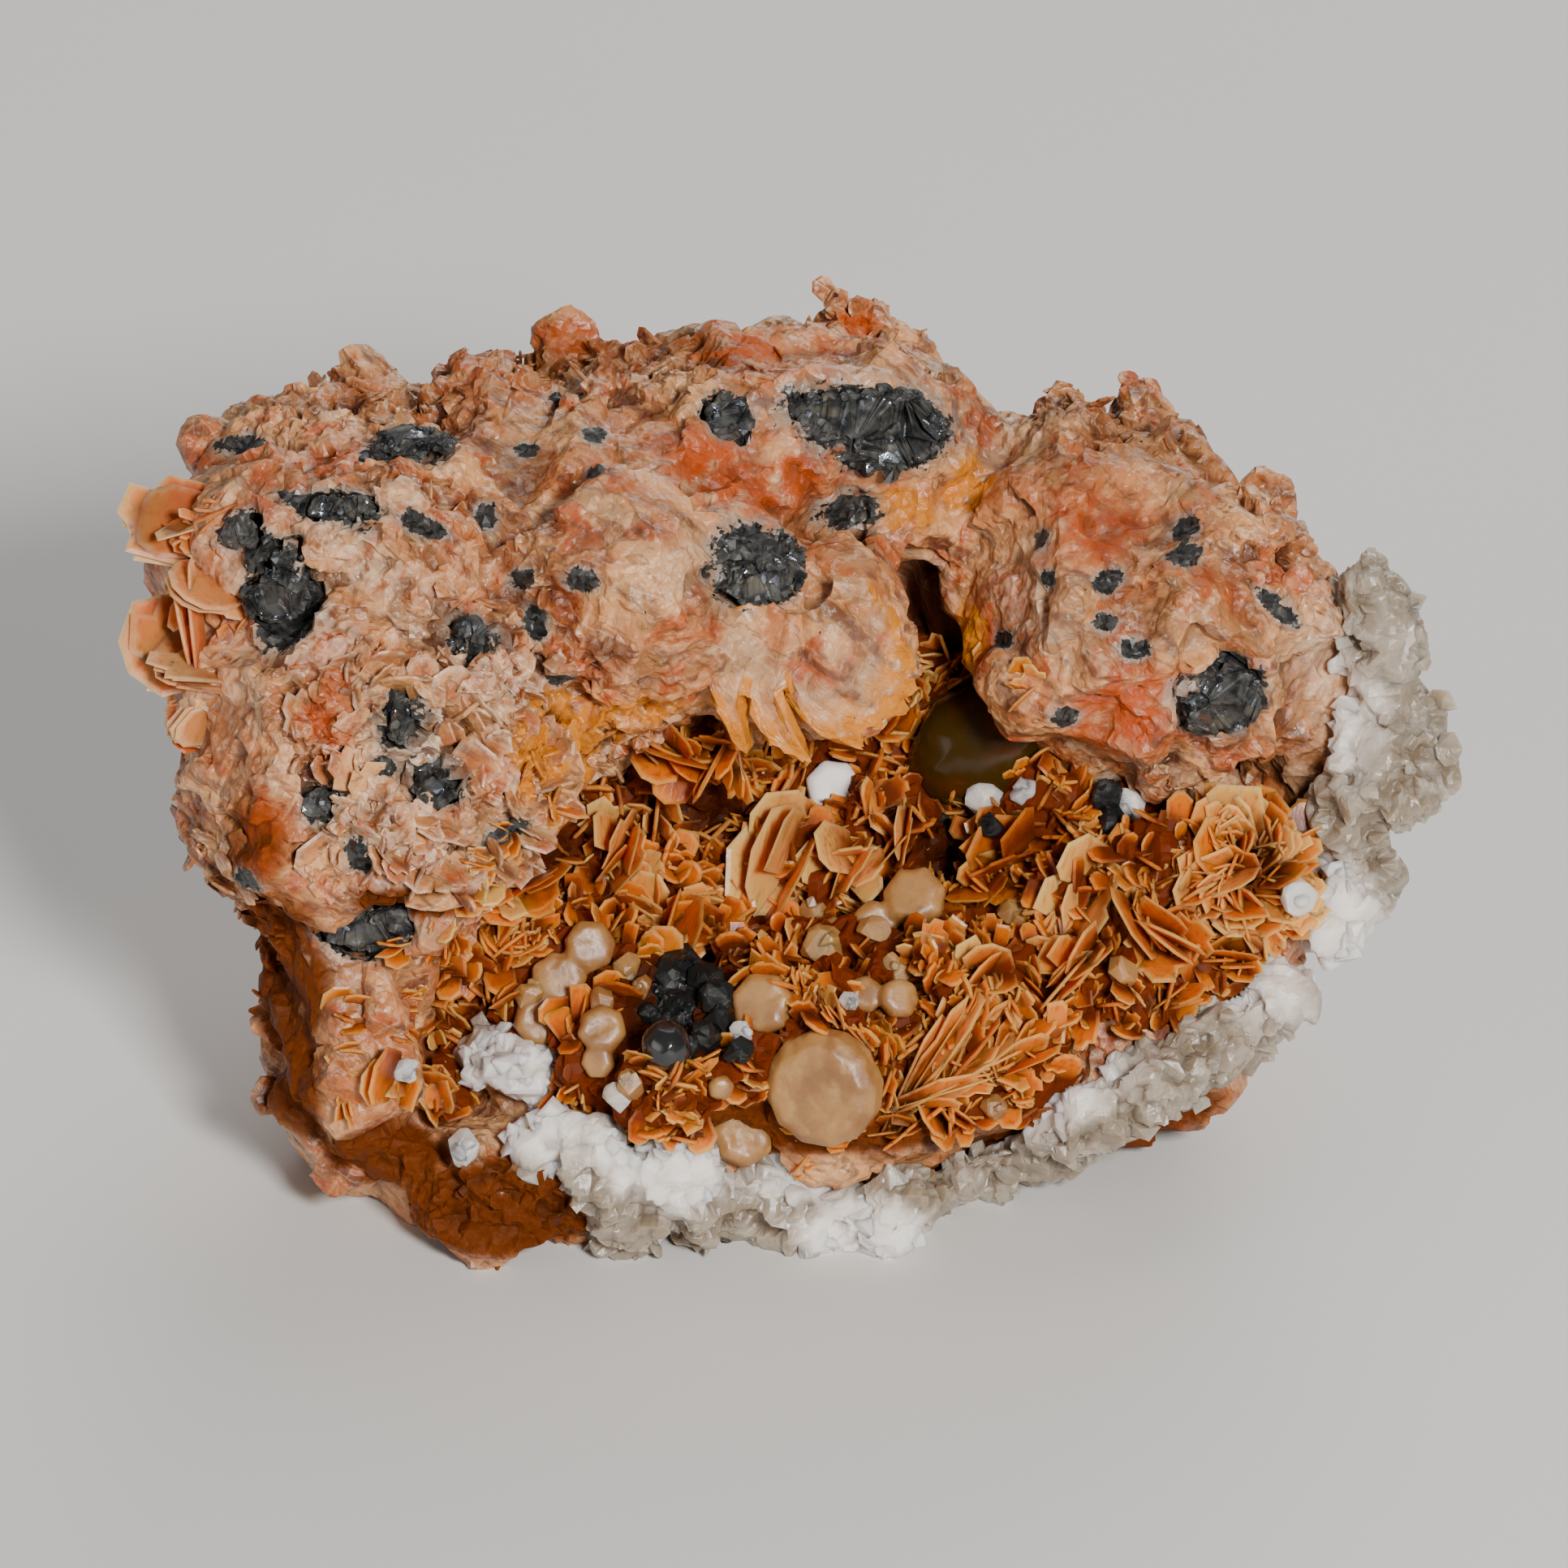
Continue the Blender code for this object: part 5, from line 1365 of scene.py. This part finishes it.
class SpecimenSizes(bpy.types.PropertyGroup):
    """Sizes of the finer crystals and the stage."""

    blade_density: bpy.props.FloatProperty(
        name="Small blade density", description="Small blades to a square metre of the hollow",
        default=1200000.0, min=0.0)
    blade_shortest: bpy.props.FloatProperty(
        name="Shortest small blade", description="Shortest of the small blades",
        default=0.001, min=0.0, unit="LENGTH")
    blade_longest: bpy.props.FloatProperty(
        name="Longest small blade", description="Longest of the small blades",
        default=0.0023, min=0.0, unit="LENGTH")
    flake_density: bpy.props.FloatProperty(
        name="Flake density", description="Loose barite flakes to a square metre",
        default=900000.0, min=0.0)
    flake_size: bpy.props.FloatProperty(
        name="Flake size", description="Largest loose flake of barite",
        default=0.0019, min=0.0, unit="LENGTH")
    grain_density: bpy.props.FloatProperty(
        name="Grain density", description="White grains to a square metre",
        default=450000.0, min=0.0)
    grain_size: bpy.props.FloatProperty(
        name="Grain size", description="Largest white grain",
        default=0.0021, min=0.0, unit="LENGTH")
    floor_size: bpy.props.FloatProperty(
        name="Floor size", description="Length of the pale floor's side",
        default=3.0, min=0.1, unit="LENGTH")


class SPECIMEN_OT_shapes(bpy.types.Operator):
    """Makes the small shapes and the node trees that the pieces share"""

    bl_idname = "specimen.shapes"
    bl_label = "Make shared shapes"

    def execute(self, context):
        crystal_tree()
        scatter_tree()
        shape_collection("blades", [blade_shape("blade_" + name, outline, bevel=0.1)
                                    for name, outline in blade_outlines().items()])
        shape_collection("flakes", [blade_shape("flake_" + name, outline, bevel=0.15)
                                    for name, outline in blade_outlines().items()])
        for flake in bpy.data.collections["flakes"].objects:
            flake.data.transform(Matrix.Diagonal(FLAKE_SHARES))
        shape_collection("grains", [grain_shape(f"grain_{i}", GRAIN_SIZE, seed=i)
                                    for i in range(4)])
        return {"FINISHED"}


class SPECIMEN_OT_rock(bpy.types.Operator):
    """Dresses the massive barite and strews its loose flakes"""

    bl_idname = "specimen.rock"
    bl_label = "Massive barite"

    def execute(self, context):
        sizes = context.scene.specimen_sizes
        rock = build_rock()
        finish = rock_finish(context.scene.specimen_tones)
        flakes = strew("barite_flakes", rock, "flakes", finish, Density=sizes.flake_density,
                       Smallest=0.3 * sizes.flake_size, Largest=sizes.flake_size, Lean=0.75, Seed=2)
        dress(lip_sheet(), finish, ())
        dress(flakes, finish, ())
        dress(rock, finish, ["barite_matrix"])
        return {"FINISHED"}


class SPECIMEN_OT_blades(bpy.types.Operator):
    """Grows the blades of the hollow, the ball at its right end and the left end's blades"""

    bl_idname = "specimen.blades"
    bl_label = "Barite blades"

    def execute(self, context):
        tones = context.scene.specimen_tones
        sizes = context.scene.specimen_sizes
        shapes = bpy.data.collections["blades"]
        colours = (tones.blade_gap_shade, tones.blade_deep, tones.blade_warm, tones.blade_pink,
                   tones.blade_rim_highlight)
        orange = blade_finish("barite_blade", *colours)
        dull = blade_finish("barite_bed", *colours, gloss=0.05)
        # The rock's red serves as painted shade at these blades' roots.
        salmon = blade_finish("barite_fan", tones.blade_gap_shade, tones.rock_red,
                              tones.fan_warm, tones.fan_pink, tones.fan_rim_highlight)
        for name, node, crystals, finish in (
                ("hollow_blades", "vug_barite_crust", hollow_books(), orange),
                ("ball_blades", "barite_rosette", rosette_books(), orange),
                ("left_end_blades", "barite_fan_left", left_blades(), salmon)):
            obj = grow_crystals(name, crystals, shapes, finish)
            obj.data.shade_flat()
            dress(obj, finish, [node])
        bed = skin_of("hollow_bed", "vug_barite_crust", BED_GRID)
        _, flake = chip_away(bed.data, size_mm=0.9, depth_mm=0.35, seed=8, lean=0.35)
        points, _ = read_points(bed.data)
        room = room_left(points, open_places(), fade_mm=1.0)
        store(bed.data, "tone", 0.3 * flake)
        # The bed takes the roots' colour all over, as painted shade under the blades.
        store(bed.data, "tip", np.zeros(len(points)))
        # Painted shade where no blade covers the bed.
        store(bed.data, "dark", 1 - room_left(points, SHADED_GAPS, fade_mm=1.2))
        store(bed.data, "crowd", room * (1 - near_nodes(points, shown_nodes(), reach_mm=1.6)))
        bed.data.shade_flat()
        small = strew("hollow_small_blades", bed, "flakes", orange, Density=sizes.blade_density,
                      Smallest=sizes.blade_shortest, Largest=sizes.blade_longest, Lean=1.57, Seed=5)
        small.data.attributes["tone"].data.foreach_set("value", 0.55 * held(small.data, "tone"))
        dress(small, orange, ())
        dress(bed, dull, ())
        rock = bpy.data.materials["barite_rock"]
        petals = grow_crystals("knob_petals", knob_petals(), shapes, rock)
        # Painted highlight along the petals' rims, as chalky white.
        store(petals.data, "pale", 0.55 * held(petals.data, "rim") * held(petals.data, "tone"))
        store(petals.data, "flake", 0.3 + 0.5 * held(petals.data, "tone"))
        petals.data.shade_flat()
        dress(petals, rock, ())
        # The crystal between the lobes, painted near black as shade.
        crystal_painted_shade = smoky_finish("smoky_barite", tones.crystal_painted_shade, tones.blade_deep, gloss=0.2)
        dress(smoky_crystal(), crystal_painted_shade, ())
        ball = bead_piece("pit_ball", [PIT_BALL], seed=24, squat=0.95, lift=0.7, extra=0,
                          corners=120)
        ball.data.shade_smooth()
        black = smoky_finish("pit_ball", tones.galena_dark, tones.galena_dark, gloss=0.6)
        dress(ball, black, ())
        return {"FINISHED"}


class SPECIMEN_OT_white(bpy.types.Operator):
    """Dresses the white crusts along the rim and the right edge and the chalky tuft"""

    bl_idname = "specimen.white"
    bl_label = "White cerussite"

    def execute(self, context):
        sizes = context.scene.specimen_sizes
        white = white_finish(context.scene.specimen_tones)
        for name, node, seed in (("white_rim", "cerussite_rim_crust", 61),
                                 ("white_edge", "cerussite_edge_crust", 63),
                                 ("white_tuft", "cerussite_tuft", 65)):
            crust = build_sugar(name, node, seed)
            grains = strew(name + "_grains", crust, "grains", white,
                           Density=sizes.grain_density, Smallest=0.3 * sizes.grain_size,
                           Largest=sizes.grain_size, Lean=1.5, Seed=seed)
            dress(grains, white, ())
            dress(crust, white, [node])
        dress(bead_piece("white_beads", WHITE_BEADS, seed=22), white, ())
        return {"FINISHED"}


class SPECIMEN_OT_honey(bpy.types.Operator):
    """Rounds the stout cerussite crystals and gives them their lustre"""

    bl_idname = "specimen.honey"
    bl_label = "Honey cerussite"

    def execute(self, context):
        finishes = {"cerussite_honey": honey_finish(context.scene.specimen_tones),
                    "cerussite_white": bpy.data.materials["cerussite_white"]}
        for number, node in enumerate(stout_crystals()):
            crystal = skin_of(node + "_look", node, STOUT_GRID)
            chip_away(crystal.data, size_mm=1.5, depth_mm=0.04, seed=300 + number, lean=0.25)
            soften = crystal.modifiers.new("Soften", "SMOOTH")
            soften.iterations = 8
            settle(crystal)
            store(crystal.data, "snow", np.full(len(crystal.data.vertices), STOUT_SNOW))
            crystal.data.shade_smooth()
            dress(crystal, finishes[slot_of(node)], [node])
        beads = bead_piece("honey_beads", HONEY_BEADS, seed=21)
        dress(beads, finishes["cerussite_honey"], ())
        return {"FINISHED"}


class SPECIMEN_OT_galena(bpy.types.Operator):
    """Breaks the galena grains into cube-like steps"""

    bl_idname = "specimen.galena"
    bl_label = "Galena"

    def execute(self, context):
        tones = context.scene.specimen_tones
        metal = galena_finish("galena", tones.galena_dark, tones.galena_light,
                              tones.galena_dusty, tones.galena_shiny)
        rock = skin_tree("barite_matrix")
        black = galena_finish("galena_in_pit", tones.galena_dark, tones.galena_dark,
                              tones.galena_light, tones.galena_light)
        for number, node in enumerate(sorted(frame["nodes"])):
            if slot_of(node) != "galena":
                continue
            grain = skin_of(node + "_look", node, GALENA_GRID)
            if node != "galena_pit":
                roughen(grain.data, depth_mm=0.75, size_mm=1.6, seed=number)
                lay_on(grain.data, rock, proud_mm=0.35)
            chip_away(grain.data, size_mm=1.3, depth_mm=0.2, seed=70 + number, lean=0.3)
            chip_away(grain.data, size_mm=0.7, depth_mm=0.05, seed=170 + number, lean=0.4)
            grain.data.shade_flat()
            dress(grain, black if node == "galena_pit" else metal, [node])
        grains = bead_piece("pit_grains", PIT_GRAINS, seed=23, squat=0.9, lift=-0.1)
        dress(grains, black, ())
        return {"FINISHED"}


class SPECIMEN_OT_stage(bpy.types.Operator):
    """Sets the pale floor, the soft lights and the camera"""

    bl_idname = "specimen.stage"
    bl_label = "Stage"

    def execute(self, context):
        bm = bmesh.new()
        bmesh.ops.create_grid(bm, x_segments=1, y_segments=1,
                              size=context.scene.specimen_sizes.floor_size / 2)
        floor = fresh_object("floor", plain_mesh(bm, "floor"))
        floor.data.materials.append(floor_finish())
        aim = Vector((0, 0, LIFT * MM))
        for name, where, size, power, tint in LIGHTS:
            light = bpy.data.lights.new(name, "AREA")
            light.size = size
            light.energy = power
            light.color = tint
            lamp = bpy.data.objects.new(name, light)
            lamp.location = where
            lamp.rotation_euler = (Vector(where) - aim).to_track_quat("Z", "Y").to_euler()
            context.scene.collection.objects.link(lamp)
        world = bpy.data.worlds.new("studio")
        world.use_nodes = True
        sky = world.node_tree.nodes["Background"].inputs
        sky["Color"].default_value = SKY
        sky["Strength"].default_value = SKY_STRENGTH
        context.scene.world = world
        camera = bpy.data.cameras.new("camera")
        viewer = bpy.data.objects.new("camera", camera)
        away = face_way((0, 0, 1))
        viewer.location = aim + away * CAMERA_DISTANCE
        viewer.rotation_euler = away.to_track_quat("Z", "Y").to_euler()
        camera.lens = camera.sensor_width * CAMERA_DISTANCE / PHOTO_SPAN
        camera.clip_start = 0.05
        camera.clip_end = 10
        context.scene.collection.objects.link(viewer)
        context.scene.camera = viewer
        return {"FINISHED"}


class SPECIMEN_PT_panel(bpy.types.Panel):
    """Lists the specimen's colours, sizes and pieces"""

    bl_label = "Specimen"
    bl_idname = "SPECIMEN_PT_panel"
    bl_space_type = "VIEW_3D"
    bl_region_type = "UI"
    bl_category = "Specimen"

    def draw(self, context):
        for group in (context.scene.specimen_tones, context.scene.specimen_sizes):
            for name in group.__annotations__:
                self.layout.prop(group, name)
        for operator in OPERATORS:
            self.layout.operator(operator.bl_idname)


OPERATORS = (SPECIMEN_OT_stage, SPECIMEN_OT_shapes, SPECIMEN_OT_rock, SPECIMEN_OT_blades,
             SPECIMEN_OT_white, SPECIMEN_OT_honey, SPECIMEN_OT_galena)
CLASSES = (SpecimenTones, SpecimenSizes, *OPERATORS, SPECIMEN_PT_panel)


def register():
    """Makes the properties, operators and panel known."""
    for cls in CLASSES:
        bpy.utils.register_class(cls)
    bpy.types.Scene.specimen_tones = bpy.props.PointerProperty(type=SpecimenTones)
    bpy.types.Scene.specimen_sizes = bpy.props.PointerProperty(type=SpecimenSizes)


def unregister():
    """Takes them away again."""
    del bpy.types.Scene.specimen_sizes
    del bpy.types.Scene.specimen_tones
    for cls in reversed(CLASSES):
        bpy.utils.unregister_class(cls)


def main():
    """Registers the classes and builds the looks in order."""
    register()
    for operator in OPERATORS:
        group, name = operator.bl_idname.split(".")
        getattr(getattr(bpy.ops, group), name)()


if __name__ == "__main__":
    main()
